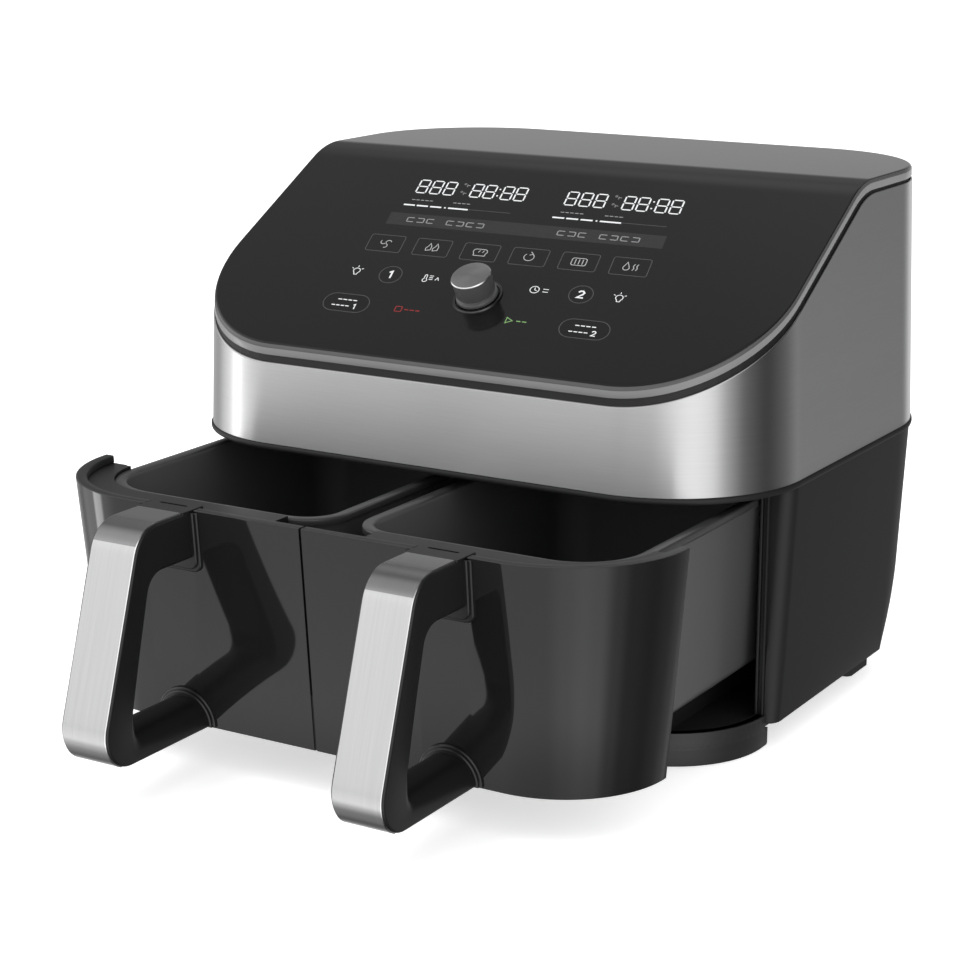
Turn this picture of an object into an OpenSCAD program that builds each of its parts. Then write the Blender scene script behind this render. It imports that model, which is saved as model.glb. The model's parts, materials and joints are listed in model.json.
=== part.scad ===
// Two-drawer air fryer with a sloped control panel. Millimetres, +Z up, front towards -Y.
// The origin is on the worktop, under the middle of the outline with both drawers pulled out.
// Heights are above the worktop. Depths are measured back from the front face of the steel band.

/* [Housing] */
// Width at the lower edge of the steel band
body_w = 384; // [378:1:390]
// Depth at the lower edge of the steel band
body_d = 317.5; // [315:0.5:320]
// Height of the roof
roof_z = 313.25; // [312:0.25:315]
// Height of the steel band's lower edge
band_z = 158.6; // [158:0.1:159]
// Plan radius of the front corners
front_r = 81.4; // [80:0.1:84]
// Plan radius of the rear corners
rear_r = 90; // [88:0.5:91]
// Inward lean of the upper walls, per unit of height
wall_draft = 0.0361; // [0.034:0.0001:0.038]
// Thickness of the steel sheet of the band
band_t = 1; // [0.8:0.1:1]
// Thickness of the moulded housing walls
wall_t = 3; // [2.6:0.1:3]

/* [Control panel] */
// Angle of the panel from level
panel_angle = 29.5; // [29:0.1:30]
// Height of the panel's front edge
panel_z = 216.3; // [215.8:0.1:216.8]
// Height of the glossy rim under the panel's edge
rim_h = 6.3; // [5.8:0.1:6.5]
// Depth at which the knob's axis meets the panel
knob_y = 55; // [50:1:60]
// Diameter of the knob
knob_d = 24; // [22:0.5:26]
// Height of the knob above the panel
knob_h = 16; // [14:0.5:18]

/* [Drawers] */
// How far the drawers stand out
open_y = 124.8; // [110:0.1:130]
// Height of the drawer fronts' upper edge
front_top_z = 153; // [152.5:0.1:153.5]
// Height of the drawer fronts' lower edge
front_low_z = 24.7; // [24:0.1:26]
// Backward lean of the drawer fronts from top to bottom
front_lean = 10.9; // [10:0.1:11.5]
// Plan radius of the drawer fronts' outer corner at the top
front_corner_r = 73; // [70:1:73]
// Gap between the two drawer fronts
split_gap = 1.5; // [1:0.1:2]
// Height of the basket's rim
basket_top_z = 147.2; // [146:0.1:148]
// Height of the underside of the basket's floor
basket_low_z = 44; // [44:0.5:48]
// Thickness of the basket's sheet metal
basket_t = 1.5; // [1:0.1:1.8]

/* [Handles] */
// Distance of each handle's middle from the split between the drawers
handle_x = 86; // [82:1:90]
// Width of the moulded handle
handle_w = 32; // [28:1:34]
// Width of the steel strap on the handle
strap_w = 29; // [25:1:29]
// Thickness of the steel strap
strap_t = 1.2; // [0.8:0.1:1.5]
// How far the handle stands out in front of the drawer
handle_reach = 76.9; // [73:0.1:78]
// Lean of the grip from upright
grip_lean = 17.86; // [16:0.1:19]

/* [Cooking cavities] */
// Distance of each fan's axis from the middle
fan_x = 89; // [88:1:90]
// Depth of each fan's axis
fan_y = 180; // [178:1:182]
// Radius of the outer heater ring
heater_r = 62; // [60:1:64]
// Radius of the heater tube
heater_tube_r = 3.2; // [3:0.1:3.4]
// Radius of the convection fan
fan_r = 50; // [46:1:52]
// Number of blades on each fan
fan_blades = 8; // [6:1:12]

/* [Hidden] */
$fn = 64;
HULL_FN = 64;      // facets of the round corners inside a hull
SLIVER = 0.01;     // thickness of the discs that a hull spans
OVER = 1;          // how far a cutting shape runs past what it cuts

half_w = body_w / 2;
slope = tan(panel_angle);
trim_lip = 1;                                  // the trim stands this far proud of the steel
trim_z = band_z - 3.6;                         // underside of the trim, top of the lower housing
y_shift = (open_y + handle_reach - body_d - trim_lip) / 2;

rim_z = panel_z - rim_h;                       // lower edge of the glossy rim at the front
steel_top_z = panel_z - 10.8;                  // top edge of the steel at the front
steel_roof_z = roof_z - 8.25;                  // top edge of the steel under the roof
bend_r = 55;                                   // radius of the bend from panel to roof
rim_inset = 0.3;
vent_w = 120;                                  // rear air outlet
vent_z = [190, 250];

lower_inset = 1.5;                             // the lower housing is this much smaller than the band
lower_draft = 0.0473;
lower_z = 16;
jamb_y = 74;
opening_w = 172.3;                             // half the width of the drawers' opening
tail_r = 50;                                   // round lower edge of the back

plate_z = [14, 18];                            // base plate
lip_z = [11, 21];                              // front lip of the base
deck_z = [200, 201.5];
liner_z = [28, 196];
liner_x = [2, 176];
liner_y = [78, 282];
liner_r = 42;
guard_z = 160;
guard_r = 73;
heater_z = 172;
fan_z = [178, 188];
cooling_z = [206, 215];
cooling_r = 34;
motor_z = [220, 244];
motor_r = 28;
shaft_r = 3;
running_gap = 0.05;
probe_at = [34, 104];
lamp_at = [158, 130];
cutoff_at = [40, 258];
boss_at = [[150, 110], [135, 265]];
base_screw_at = [[170, 110], [170, 190]];
screw_r = 1.5;

front_rate = front_lean / (front_top_z - front_low_z);
front_half_w = 190.5;
front_wall = 3;
front_rim = [8.5, 4];                          // width and height of the thick rim at the top
frame_z = [134, 148.6];                        // inner frame behind the drawer front
basket_x = [9, 168.8];
basket_y = [32, 266];
basket_r = 24;                                 // plan radius of the corners, but for the outer front one
basket_front_r = 40;
basket_draft = 0.038;
basket_flange = 2;
tray_z = 56;
tray_t = 1.5;
handle_top_z = 152.8;
handle_low_z = 25;
bend_top_r = 20;
bend_low_r = 19.6;
strap_back_y = -8.2;
opening_lean = 13.7;                           // the finger opening's far side leans less than the grip
opening_z = [42, 126];

// ---------- shared shapes ----------

// Points on an arc about a centre, from one angle to another.
function arc(centre, r, from, to, steps = 10) =
    [for (i = [0 : steps]) let (a = from + (to - from) * i / steps) centre + r * [cos(a), sin(a)]];

function reverse(list) = [for (i = [len(list) - 1 : -1 : 0]) list[i]];

// Inset of the upper walls and of the lower walls at a height.
function draft(z) = wall_draft * (z - band_z);
function low_draft(z) = lower_inset + lower_draft * (trim_z - z);

// Depth of the drawer front's face at a height, with the drawer shut.
function face_y(z) = front_rate * (front_top_z - z);

module housed() { translate([0, y_shift, 0]) children(); }
module on_side(side) { mirror([side < 0 ? 1 : 0, 0, 0]) children(); }
module in_drawer(side) { translate([0, y_shift - open_y, 0]) on_side(side) children(); }
module both_sides() { for (side = [-1, 1]) on_side(side) children(); }
module in_box(low, high) { translate(low) cube(high - low); }

// Extrudes a depth and height outline across the width.
module across(width, x = 0) {
    translate([x - width / 2, 0, 0]) rotate([90, 0, 90]) linear_extrude(width) children();
}

// Plan of the housing at the band's lower edge, inset all round.
module plan(inset) {
    x_f = half_w - front_r;
    x_r = half_w - rear_r;
    translate([-x_r, inset]) square([2 * x_r, body_d - 2 * inset]);
    translate([-x_f, inset]) square([2 * x_f, front_r]);
    translate([inset - half_w, front_r]) square([body_w - 2 * inset, body_d - rear_r - front_r]);
    for (side = [-1, 1]) {
        translate([side * x_f, front_r]) circle(front_r - inset);
        translate([side * x_r, body_d - rear_r]) circle(rear_r - inset);
    }
}

// Upper housing as a solid block: the corner centres stay put while the walls lean in.
module upper_block(low, high, inset = 0) {
    hull() for (side = [-1, 1], z = [low, high]) {
        i = inset + draft(z);
        translate([side * (half_w - front_r), front_r, z]) cylinder(SLIVER, r = front_r - i, $fn = HULL_FN);
        translate([side * (half_w - rear_r), body_d - rear_r, z])
            cylinder(SLIVER, r = rear_r - i, $fn = HULL_FN);
    }
}

// Everything under a line that climbs with the panel and bends level under the roof.
module below_slope(front_z, top_z, r) {
    bend_y = (top_z - front_z) / slope;
    bend = [bend_y + r * tan(panel_angle / 2), top_z - r];
    across(body_w + 20) polygon(concat(
        [[-10, 100], [-10, front_z - 10 * slope]],
        arc(bend, r, 90 + panel_angle, 90, 8),
        [[body_d + 10, top_z], [body_d + 10, 100]]));
}

// Local frame of the control panel: x across, y up the slope, z out of the panel.
module on_panel(x = 0, y = 0, z = 0) {
    translate([0, 0, panel_z]) rotate([panel_angle, 0, 0]) translate([x, y, z]) children();
}

module above_fan() { translate([fan_x, fan_y, 0]) children(); }

module tube(low, high, r, bore) {
    translate([0, 0, low]) linear_extrude(high - low) difference() { circle(r); circle(bore); }
}

module pillar(at, low, high, r) { translate([at[0], at[1], low]) cylinder(high - low, r = r); }

// ---------- upper housing ----------

module top_cover() color([0.10, 0.10, 0.11]) housed() difference() {
    union() {
        difference() {
            intersection() {
                upper_block(rim_z - OVER, roof_z + OVER, rim_inset);
                below_slope(panel_z, roof_z, bend_r);
            }
            intersection() {
                upper_block(rim_z - 2 * OVER, roof_z + 2 * OVER, rim_inset + wall_t);
                below_slope(panel_z - wall_t / cos(panel_angle), roof_z - wall_t, bend_r - wall_t);
            }
            below_slope(rim_z, roof_z - rim_h, bend_r - rim_h);
        }
        intersection() {
            both_sides() for (at = boss_at) pillar(at, deck_z[1], roof_z, 4.5);
            below_slope(panel_z - 1, roof_z - 1, bend_r);
        }
    }
    both_sides() for (at = boss_at) pillar(at, deck_z[1] - OVER, deck_z[1] + 18, screw_r + running_gap);
    on_panel(0, knob_y / cos(panel_angle), -2 * wall_t) cylinder(4 * wall_t, r = 6);
}

module vent_window(grow = 0) {
    in_box([-vent_w / 2 - grow, body_d - 30, vent_z[0] - grow],
           [vent_w / 2 + grow, body_d + 10, vent_z[1] + grow]);
}

module steel_band() color([0.72, 0.72, 0.73]) housed() difference() {
    intersection() {
        upper_block(band_z, roof_z);
        below_slope(steel_top_z, steel_roof_z, bend_r - rim_h);
    }
    upper_block(band_z - OVER, roof_z + OVER, band_t);
    vent_window();
}

module upper_frame() color([0.16, 0.16, 0.17]) housed() difference() {
    union() {
        difference() {
            intersection() {
                upper_block(band_z, roof_z, band_t + 0.1);
                below_slope(rim_z - 0.1, roof_z - rim_h - 0.1, bend_r - rim_h);
            }
            upper_block(band_z - OVER, roof_z + OVER, band_t + wall_t);
        }
        translate([0, 0, deck_z[0] - wall_t]) linear_extrude(wall_t) difference() { plan(5); plan(14); }
    }
    vent_window();
}

module band_trim() color([0.08, 0.08, 0.085]) housed()
    translate([0, 0, trim_z]) linear_extrude(band_z - trim_z) difference() { plan(-trim_lip); plan(6); }

module rear_grille() color([0.12, 0.12, 0.125]) housed() {
    mid_z = (vent_z[0] + vent_z[1]) / 2;
    h = vent_z[1] - vent_z[0];
    translate([0, body_d - draft(mid_z), mid_z]) rotate([atan(wall_draft), 0, 0]) difference() {
        union() {
            in_box([-vent_w / 2 - 4, 0.1, -h / 2 - 4], [vent_w / 2 + 4, 2, h / 2 + 4]);
            in_box([-vent_w / 2 + 1.6, -5, -h / 2 + 1.6], [vent_w / 2 - 1.6, 0.1, h / 2 - 1.6]);
        }
        for (row = [-4 : 4], col = [-1 : 1])
            translate([col * 37 - 16, -10, row * 6 - 1.6]) cube([32, 20, 3.2]);
    }
}

// ---------- lower housing ----------

module lower_block(low, high, inset = 0) {
    hull() for (side = [-1, 1], z = [low, high]) {
        i = inset + low_draft(z);
        translate([side * (half_w - rear_r), body_d - rear_r, z])
            cylinder(SLIVER, r = rear_r - i, $fn = HULL_FN);
        translate([side * (half_w - i) - (side > 0 ? 1 : 0), jamb_y, z]) cube([1, 1, SLIVER]);
    }
}

// Side view of the lower housing: upright back that rounds under at the bottom.
module tail_profile(inset) {
    centre = [body_d - rear_r / 2 - 10, lower_z + tail_r];
    back = centre[0] + tail_r - inset;
    low = inset > 0 ? 0 : lower_z;
    across(body_w + 20) polygon(concat(
        [[jamb_y - 20, trim_z + OVER], [jamb_y - 20, low], [centre[0], low]],
        arc(centre, tail_r - inset, -90, 0, 12),
        [[back + (trim_z - centre[1]) * lower_draft, trim_z], [back + 8, trim_z + OVER]]));
}

module lower_housing() color([0.15, 0.15, 0.155]) housed() difference() {
    union() {
        difference() {
            intersection() { lower_block(lower_z, trim_z - SLIVER); tail_profile(0); }
            intersection() { lower_block(-OVER, trim_z + OVER, wall_t); tail_profile(wall_t); }
        }
        difference() {
            intersection() {
                lower_block(lower_z, trim_z - SLIVER, 1);
                in_box([-half_w, jamb_y, plate_z[1] + 0.1], [half_w, jamb_y + wall_t, 200]);
            }
            in_box([-opening_w, 0, -OVER], [opening_w, 200, 200]);
        }
        both_sides() for (at = base_screw_at)
            in_box([at[0] - 5, at[1] - 6, plate_z[1] + 0.1], [at[0] + 12, at[1] + 6, plate_z[1] + 7]);
    }
    both_sides() for (at = base_screw_at) pillar(at, plate_z[1] - OVER, plate_z[1] + 6, screw_r + running_gap);
    translate([-80, body_d - 40, 80]) rotate([-90, 0, 0]) cylinder(60, r = 8);
}

// Plan of the base: round front corners, back corners that follow the lower housing.
module base_plan(inset, half = 179, front = 12, r = 62) {
    back = body_d - rear_r / 2 - 10;
    rear_centre = [half_w - rear_r - 1, body_d - rear_r];
    rear = half - rear_centre[0];
    intersection() {
        union() {
            translate([-half + r, front + inset]) square([2 * (half - r), back]);
            translate([-half + inset, front + r]) square([2 * (half - inset), rear_centre[1] - front - r]);
            translate([-rear_centre[0], front + r]) square([2 * rear_centre[0], back]);
            for (side = [-1, 1]) {
                translate([side * (half - r), front + r]) circle(r - inset);
                translate([side * rear_centre[0], rear_centre[1]]) circle(rear - inset);
            }
        }
        translate([-half, front]) square([2 * half, back - front - inset]);
    }
}

module front_strip(inset, width, back, half, front, r) {
    difference() {
        base_plan(inset, half, front, r);
        base_plan(inset + width, half, front, r);
        translate([-half, back]) square([2 * half, body_d]);
    }
}

module base_pan() color([0.13, 0.13, 0.135]) housed() difference() {
    union() {
        translate([0, 0, plate_z[0]]) linear_extrude(plate_z[1] - plate_z[0]) base_plan(0.3);
        translate([0, 0, lip_z[0]]) linear_extrude(lip_z[1] - lip_z[0])
            front_strip(0, 5, jamb_y - OVER, 179, 12, 62);
        both_sides() for (x = [36, 138])
            in_box([x - 2, 24, plate_z[1] - SLIVER], [x + 2, 260, basket_low_z - 0.3]);
    }
    both_sides() for (at = base_screw_at) pillar(at, 0, 40, screw_r + 0.3);
    both_sides() for (row = [0 : 5]) in_box([64, 150 + 12 * row, 0], [112, 155 + 12 * row, 30]);
}

module front_foot() color([0.14, 0.14, 0.145]) housed()
    linear_extrude(lip_z[0]) front_strip(0, 8, 82, 177, 15, 60);

module rear_feet() color([0.12, 0.12, 0.125]) housed() both_sides()
    translate([148, 215, 0]) linear_extrude(plate_z[0]) union() {
        translate([4, 0]) square([16, 31]);
        translate([0, 4]) square([24, 23]);
        for (x = [4, 20], y = [4, 27]) translate([x, y]) circle(4);
    }

module cord_gland() color([0.09, 0.09, 0.09]) housed()
    translate([-80, body_d - lower_inset - lower_draft * 75 + 0.4, 80]) rotate([-90, 0, 0]) difference() {
        union() {
            translate([0, 0, 0.2]) cylinder(3, r = 11);
            translate([0, 0, -9]) cylinder(9.3, r = 7.8);
        }
        translate([0, 0, -12]) cylinder(20, r = 3.6);
    }

// ---------- cooking cavities ----------

module liner_plan(inset, front) {
    low = [liner_x[0] + inset, front];
    corner = [liner_x[1] - liner_r, liner_y[1] - liner_r];
    translate(low) square([corner[0] - low[0], liner_y[1] - inset - front]);
    translate(low) square([liner_x[1] - inset - low[0], corner[1] - front]);
    translate(corner) circle(liner_r - inset);
}

module cavity_liner() difference() {
    translate([0, 0, liner_z[0]]) linear_extrude(liner_z[1] - liner_z[0]) liner_plan(0, liner_y[0]);
    translate([0, 0, liner_z[0] - OVER]) linear_extrude(liner_z[1] - liner_z[0]) liner_plan(1, liner_y[0] - 5);
    above_fan() {
        pillar([0, 0], 190, 200, 7);
        for (x = [-9, 9]) pillar([x, heater_r], 190, 200, 5);
    }
    pillar(probe_at, 190, 200, 2.2);
    pillar(lamp_at, 190, 200, 8.3);
}

module cavity_liner_left() color([0.62, 0.63, 0.64]) housed() on_side(-1) cavity_liner();
module cavity_liner_right() color([0.62, 0.63, 0.64]) housed() cavity_liner();

module centre_divider() color([0.50, 0.51, 0.52]) housed()
    in_box([-liner_x[0] + 0.1, liner_y[0], liner_z[0]],
           [liner_x[0] - 0.1, liner_y[1] - 1, liner_z[1] - 1]);

module front_bulkhead() color([0.58, 0.59, 0.60]) housed() {
    low = band_z + 0.4;
    translate([0, 0, low]) linear_extrude(1.2) intersection() {
        plan(6);
        translate([-half_w, 0]) square([body_w, liner_y[0] - 0.4]);
    }
    in_box([-liner_x[1], liner_y[0] - 1.6, low], [liner_x[1], liner_y[0] - 0.4, deck_z[0] - wall_t - 0.5]);
}

module deck_plate() color([0.66, 0.67, 0.68]) housed() {
    difference() {
        translate([0, 0, deck_z[0]]) linear_extrude(deck_z[1] - deck_z[0]) plan(9);
        both_sides() above_fan() {
            pillar([0, 0], 190, 210, 8);
            for (x = [-9, 9]) pillar([x, heater_r], 190, 210, 5);
        }
        both_sides() {
            pillar(probe_at, 190, 210, 3);
            pillar(lamp_at, 190, 210, 9);
            for (at = boss_at) pillar(at, 190, 210, screw_r + 0.2);
        }
        in_box([-40, 246, 190], [40, 286, 210]);
    }
    for (x = [-46, 46], y = [236, 290]) pillar([x, y], deck_z[1] - SLIVER, 210, 3);
}

module heater() above_fan() {
    for (r = [heater_r, heater_r - 18])
        translate([0, 0, heater_z]) rotate_extrude() translate([r, 0]) circle(heater_tube_r);
    translate([heater_r - 18, 0, heater_z]) rotate([0, 90, 0]) cylinder(18, r = heater_tube_r - 0.4);
    for (x = [-9, 9])
        translate([x, sqrt(heater_r * heater_r - x * x), heater_z]) cylinder(42, r = heater_tube_r - 0.5);
}

module heater_left() color([0.42, 0.42, 0.43]) housed() on_side(-1) heater();
module heater_right() color([0.42, 0.42, 0.43]) housed() heater();

module heater_clips() color([0.70, 0.71, 0.72]) housed() both_sides() above_fan() {
    edge = heater_r + heater_tube_r + 0.4;
    foot_z = heater_z - heater_tube_r - 2;
    for (a = [30, 150, 270]) rotate([0, 0, a]) {
        in_box([edge, -4, foot_z], [edge + 1.5, 4, liner_z[1] - 1]);
        in_box([edge - 8, -4, foot_z], [edge + 1.5, 4, foot_z + 1.5]);
    }
}

module fan_guards() color([0.68, 0.69, 0.70]) housed() both_sides() above_fan() {
    translate([0, 0, guard_z]) linear_extrude(1) difference() {
        circle(guard_r);
        for (ring = [1 : 6], i = [0 : 6 * ring - 1])
            rotate(i * 60 / ring) translate([ring * 10.8, 0]) circle(3);
    }
    for (a = [90, 210, 330]) rotate([0, 0, a])
        in_box([guard_r - 2, -6, guard_z + 0.5], [guard_r - 0.8, 6, liner_z[1] - 1]);
}

module blades(low, high, inner, outer) {
    for (i = [0 : fan_blades - 1]) rotate([0, 0, i * 360 / fan_blades])
        in_box([inner, -0.6, low], [outer, 0.6, high]);
}

// Flat disc with radial blades and a hub that is bored for the shaft.
module fan_wheel(low, high, r, hub_r) difference() {
    union() {
        translate([0, 0, low]) cylinder(1, r = r);
        translate([0, 0, low - 1]) cylinder(high - low + 1, r = hub_r);
        blades(low + 0.5, high, hub_r - 1, r - 1);
    }
    translate([0, 0, low - 5]) cylinder(high - low + 10, r = shaft_r + 0.02);
}

module convection_fan() above_fan() fan_wheel(fan_z[0], fan_z[1], fan_r, 8);
module cooling_fan() above_fan() fan_wheel(cooling_z[0], cooling_z[1], cooling_r, 7);
module fan_shaft() above_fan() union() {
    pillar([0, 0], fan_z[0] - 3, motor_z[1] + 8, shaft_r);
    translate([0, 0, fan_z[0] - 5]) cylinder(3.5, r = 5, $fn = 6);
}

module convection_fan_left() color([0.75, 0.76, 0.77]) housed() on_side(-1) convection_fan();
module convection_fan_right() color([0.75, 0.76, 0.77]) housed() convection_fan();
module fan_shaft_left() color([0.60, 0.60, 0.62]) housed() on_side(-1) fan_shaft();
module fan_shaft_right() color([0.60, 0.60, 0.62]) housed() fan_shaft();
module cooling_fan_left() color([0.20, 0.20, 0.21]) housed() on_side(-1) cooling_fan();
module cooling_fan_right() color([0.20, 0.20, 0.21]) housed() cooling_fan();

module motor() above_fan() difference() {
    union() {
        pillar([0, 0], motor_z[0], motor_z[1], motor_r);
        pillar([0, 0], motor_z[0] - 3.5, motor_z[1] + 4, 9);
        in_box([-motor_r - 4, -7, motor_z[0] + 3], [motor_r + 4, 7, motor_z[1] - 3]);
    }
    pillar([0, 0], 200, 260, shaft_r + running_gap);
}

module motor_left() color([0.52, 0.53, 0.55]) housed() on_side(-1) motor();
module motor_right() color([0.52, 0.53, 0.55]) housed() motor();

module motor_brackets() color([0.64, 0.65, 0.66]) housed() both_sides() above_fan() {
    tube(motor_z[0] - 2, motor_z[0], 46, 10);
    for (a = [60, 180, 300]) rotate([0, 0, a]) pillar([41, 0], deck_z[1], motor_z[0] - 1, 3);
}

module lamp_holders() color([0.85, 0.84, 0.80]) housed() both_sides() translate(lamp_at) {
    pillar([0, 0], liner_z[1] - 1, liner_z[1] + 16, 8);
    tube(liner_z[1], liner_z[1] + 1.5, 12, 7.5);
}

module lamp_lenses() color([0.95, 0.93, 0.85, 0.5]) housed() both_sides() translate(lamp_at) {
    translate([0, 0, liner_z[1] - 1.2]) rotate_extrude() difference() {
        intersection() { circle(11); translate([0, -12]) square([12, 12]); }
        circle(9.5);
    }
}

module temperature_probes() color([0.70, 0.70, 0.72]) housed() both_sides() translate(probe_at) {
    pillar([0, 0], 168, 206, 1.6);
    tube(liner_z[1], liner_z[1] + 2, 4.5, 1.6);
}

module thermal_cutoffs() color([0.30, 0.26, 0.22]) housed() both_sides() translate(cutoff_at) {
    pillar([0, 0], liner_z[1], liner_z[1] + 3.8, 7);
}

module drawer_switches() color([0.10, 0.10, 0.11]) housed() both_sides() {
    in_box([148, 40, band_z + 1.6], [156, 60, band_z + 13]);
    pillar([152, 46], band_z - 3, band_z + 0.4, 1.5);
}

// ---------- electronics ----------

module power_board() color([0.10, 0.34, 0.18]) housed() union() {
    in_box([-52, 232, 210], [52, 294, 211.6]);
    for (x = [-40, -16]) in_box([x, 238, 211.5], [x + 19, 252, 226]);
    in_box([14, 236, 211.5], [44, 262, 236]);
    for (x = [-38, -14, 10]) pillar([x, 278], 211.5, 232, 7);
    in_box([24, 268, 211.5], [48, 290, 222]);
}

board_y = [44, 176];                           // control board along the slope
board_top = -11;                               // its upper face below the panel

module control_board() color([0.12, 0.38, 0.20]) housed() on_panel() difference() {
    in_box([-118, board_y[0], board_top - 1.6], [118, board_y[1], board_top]);
    for (x = [-110, 110], y = board_y + [7, -7]) pillar([x, y], board_top - 5, board_top + 5, 1.8);
}

module displays() color([0.20, 0.20, 0.22]) housed() on_panel() for (x = [-52, 52])
    in_box([x - 44, 134, board_top], [x + 44, 172, -wall_t - 0.6]);

module encoder() color([0.55, 0.56, 0.58]) housed() on_panel(0, knob_y / cos(panel_angle)) difference() {
    union() {
        in_box([-6, -6, board_top], [6, 6, board_top + 5]);
        pillar([0, 0], board_top + 4, -wall_t + 1, 4.5);
    }
    pillar([0, 0], board_top + 1.5, 5, shaft_r + running_gap);
}

module knob_ring() color([0.35, 0.35, 0.36]) housed() on_panel(0, knob_y / cos(panel_angle))
    tube(0, 1.2, knob_d / 2 + 3, knob_d / 2 + 1.2);

module knob_shaft() color([0.60, 0.60, 0.62]) housed() on_panel(0, knob_y / cos(panel_angle))
    pillar([0, 0], board_top + 2, knob_h - 6, shaft_r);

module knob_body() color([0.14, 0.14, 0.145]) housed() on_panel(0, knob_y / cos(panel_angle)) difference() {
    union() {
        pillar([0, 0], 0.6, knob_h - 1.2, knob_d / 2 - 0.4);
        pillar([0, 0], 0.6, 3, knob_d / 2 + 0.4);
    }
    pillar([0, 0], -OVER, knob_h - 6, shaft_r + 0.02);
}

module knob_cap() color([0.60, 0.60, 0.60]) housed() on_panel(0, knob_y / cos(panel_angle))
    pillar([0, 0], knob_h - 1.2, knob_h, knob_d / 2);

// ---------- fasteners ----------

// Pan-head screw pointing along +z from its seat.
module screw(length, r = screw_r, head_r = 3, head_h = 1.9) difference() {
    union() {
        translate([0, 0, -head_h]) cylinder(head_h, r = head_r);
        translate([0, 0, -0.5]) cylinder(length + 0.5, r = r);
    }
    for (a = [0, 90]) rotate([0, 0, a]) translate([-1.6, -0.35, -head_h - OVER]) cube([3.2, 0.7, OVER + 1]);
}

module case_screws() color([0.70, 0.70, 0.72]) housed() both_sides() for (at = boss_at)
    translate([at[0], at[1], deck_z[0]]) screw(16);

module base_screws() color([0.25, 0.25, 0.26]) housed() both_sides() for (at = base_screw_at)
    translate([at[0], at[1], plate_z[0]]) screw(9.5);

// ---------- drawers ----------

// Drawer front as a solid block; the corner centre stays put while the faces lean in downwards.
module front_block(low, high, inset = 0) {
    centre_x = front_half_w - front_corner_r;
    intersection() {
        hull() for (z = [low, high]) {
            lean = face_y(z) + inset;
            translate([centre_x, front_corner_r, z])
                cylinder(SLIVER, r = front_corner_r - lean, $fn = HULL_FN);
            translate([split_gap / 2, lean, z]) cube([1, front_corner_r, SLIVER]);
        }
        in_box([split_gap / 2 + inset, -50, low], [half_w, front_corner_r, high]);
    }
}

module screw_axis(z) {
    translate([handle_x, face_y(z) + front_wall + OVER + 0.45, z]) rotate([90, 0, 0]) children();
}

module front_shell() difference() {
    front_block(front_low_z, front_top_z);
    translate([0, OVER, 0]) front_block(front_low_z - OVER, front_top_z - front_rim[1], front_wall);
    in_box([front_wall, front_corner_r - 2 * OVER, 0],
           [front_half_w - 14 - front_wall, front_corner_r + OVER, front_top_z - front_rim[1]]);
    translate([0, OVER, 0]) front_block(front_top_z - front_rim[1] - OVER, front_top_z + OVER, front_rim[0]);
    in_box([0, 17, 0], [front_rim[0] + split_gap, 100, 200]);
    in_box([handle_x - handle_w / 2, -5, front_top_z - 1.5], [handle_x + handle_w / 2, 11, front_top_z + OVER]);
    for (z = [34, 138]) screw_axis(z) cylinder(12, r = 2.2, center = true);
}

module inner_frame() difference() {
    front_block(frame_z[0], frame_z[1], front_wall + OVER + 0.4);
    translate([0, 0, frame_z[0] - OVER]) linear_extrude(30) basket_plan(-basket_flange - 0.05);
    in_box([0, 16, 0], [basket_x[0] + 20, 100, 200]);
    in_box([basket_x[1] - basket_front_r, basket_y[0] + basket_front_r, 0],
           [basket_x[1] + basket_flange + 4, 100, 200]);
    screw_axis(138) cylinder(120, r = 5, center = true);
}

// Plan corners of a basket: centre and radius of each, where r is the common radius.
function basket_corner(x, y, r) = let (c = x == 1 && y == 0 ? basket_front_r - basket_r + r : r)
    [basket_x[x] + (1 - 2 * x) * c, basket_y[y] + (1 - 2 * y) * c, c];

// The basket's walls as a solid block that narrows towards its floor.
module basket_block(low, high, inset) {
    hull() for (x = [0, 1], y = [0, 1], z = [low, high]) {
        corner = basket_corner(x, y, basket_r);
        translate([corner[0], corner[1], z])
            cylinder(SLIVER, r = corner[2] - inset - basket_draft * (basket_top_z - z), $fn = HULL_FN);
    }
}

// Plan of the basket's outline, inset all round.
module basket_plan(inset) {
    low = [basket_x[0] + inset, basket_y[0] + inset];
    high = [basket_x[1] - inset, basket_y[1] - inset];
    outer = basket_corner(1, 0, basket_r);
    translate([low[0], basket_y[0] + basket_r])
        square([high[0] - low[0] - basket_front_r + inset, high[1] - basket_y[0] - 2 * basket_r + inset]);
    translate([basket_x[0] + basket_r, low[1]]) square([outer[0] - basket_x[0] - basket_r, high[1] - low[1]]);
    translate([outer[0] - 1, outer[1]])
        square([high[0] - outer[0] + 1, basket_y[1] - basket_r - outer[1]]);
    translate([outer[0] - 1, outer[1]])
        square([basket_x[1] - basket_r - outer[0] + 1, high[1] - outer[1]]);
    for (x = [0, 1], y = [0, 1]) {
        corner = basket_corner(x, y, basket_r);
        translate([corner[0], corner[1]]) circle(corner[2] - inset);
    }
}

module basket() difference() {
    union() {
        basket_block(basket_low_z, basket_top_z - SLIVER, 0);
        translate([0, 0, basket_top_z - 3]) linear_extrude(3) basket_plan(-basket_flange);
    }
    basket_block(basket_low_z + basket_t, basket_top_z + OVER, basket_t);
}

module on_face(x, z) { translate([x, face_y(z), z]) rotate([90 + atan(front_rate), 0, 0]) children(); }

// Depth at which a line at an angle, tangent to a circle of radius r, puts that circle's centre.
function tangent_y(angle, offset, z, r) = (offset - r - sin(angle) * z) / cos(angle);

grip_angle = 180 - grip_lean;
low_bend = [bend_low_r - handle_reach, handle_low_z + bend_low_r];
grip_offset = cos(grip_angle) * low_bend[0] + sin(grip_angle) * low_bend[1] + bend_low_r;
top_bend = [tangent_y(grip_angle, grip_offset, handle_top_z - bend_top_r, bend_top_r),
            handle_top_z - bend_top_r];

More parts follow.
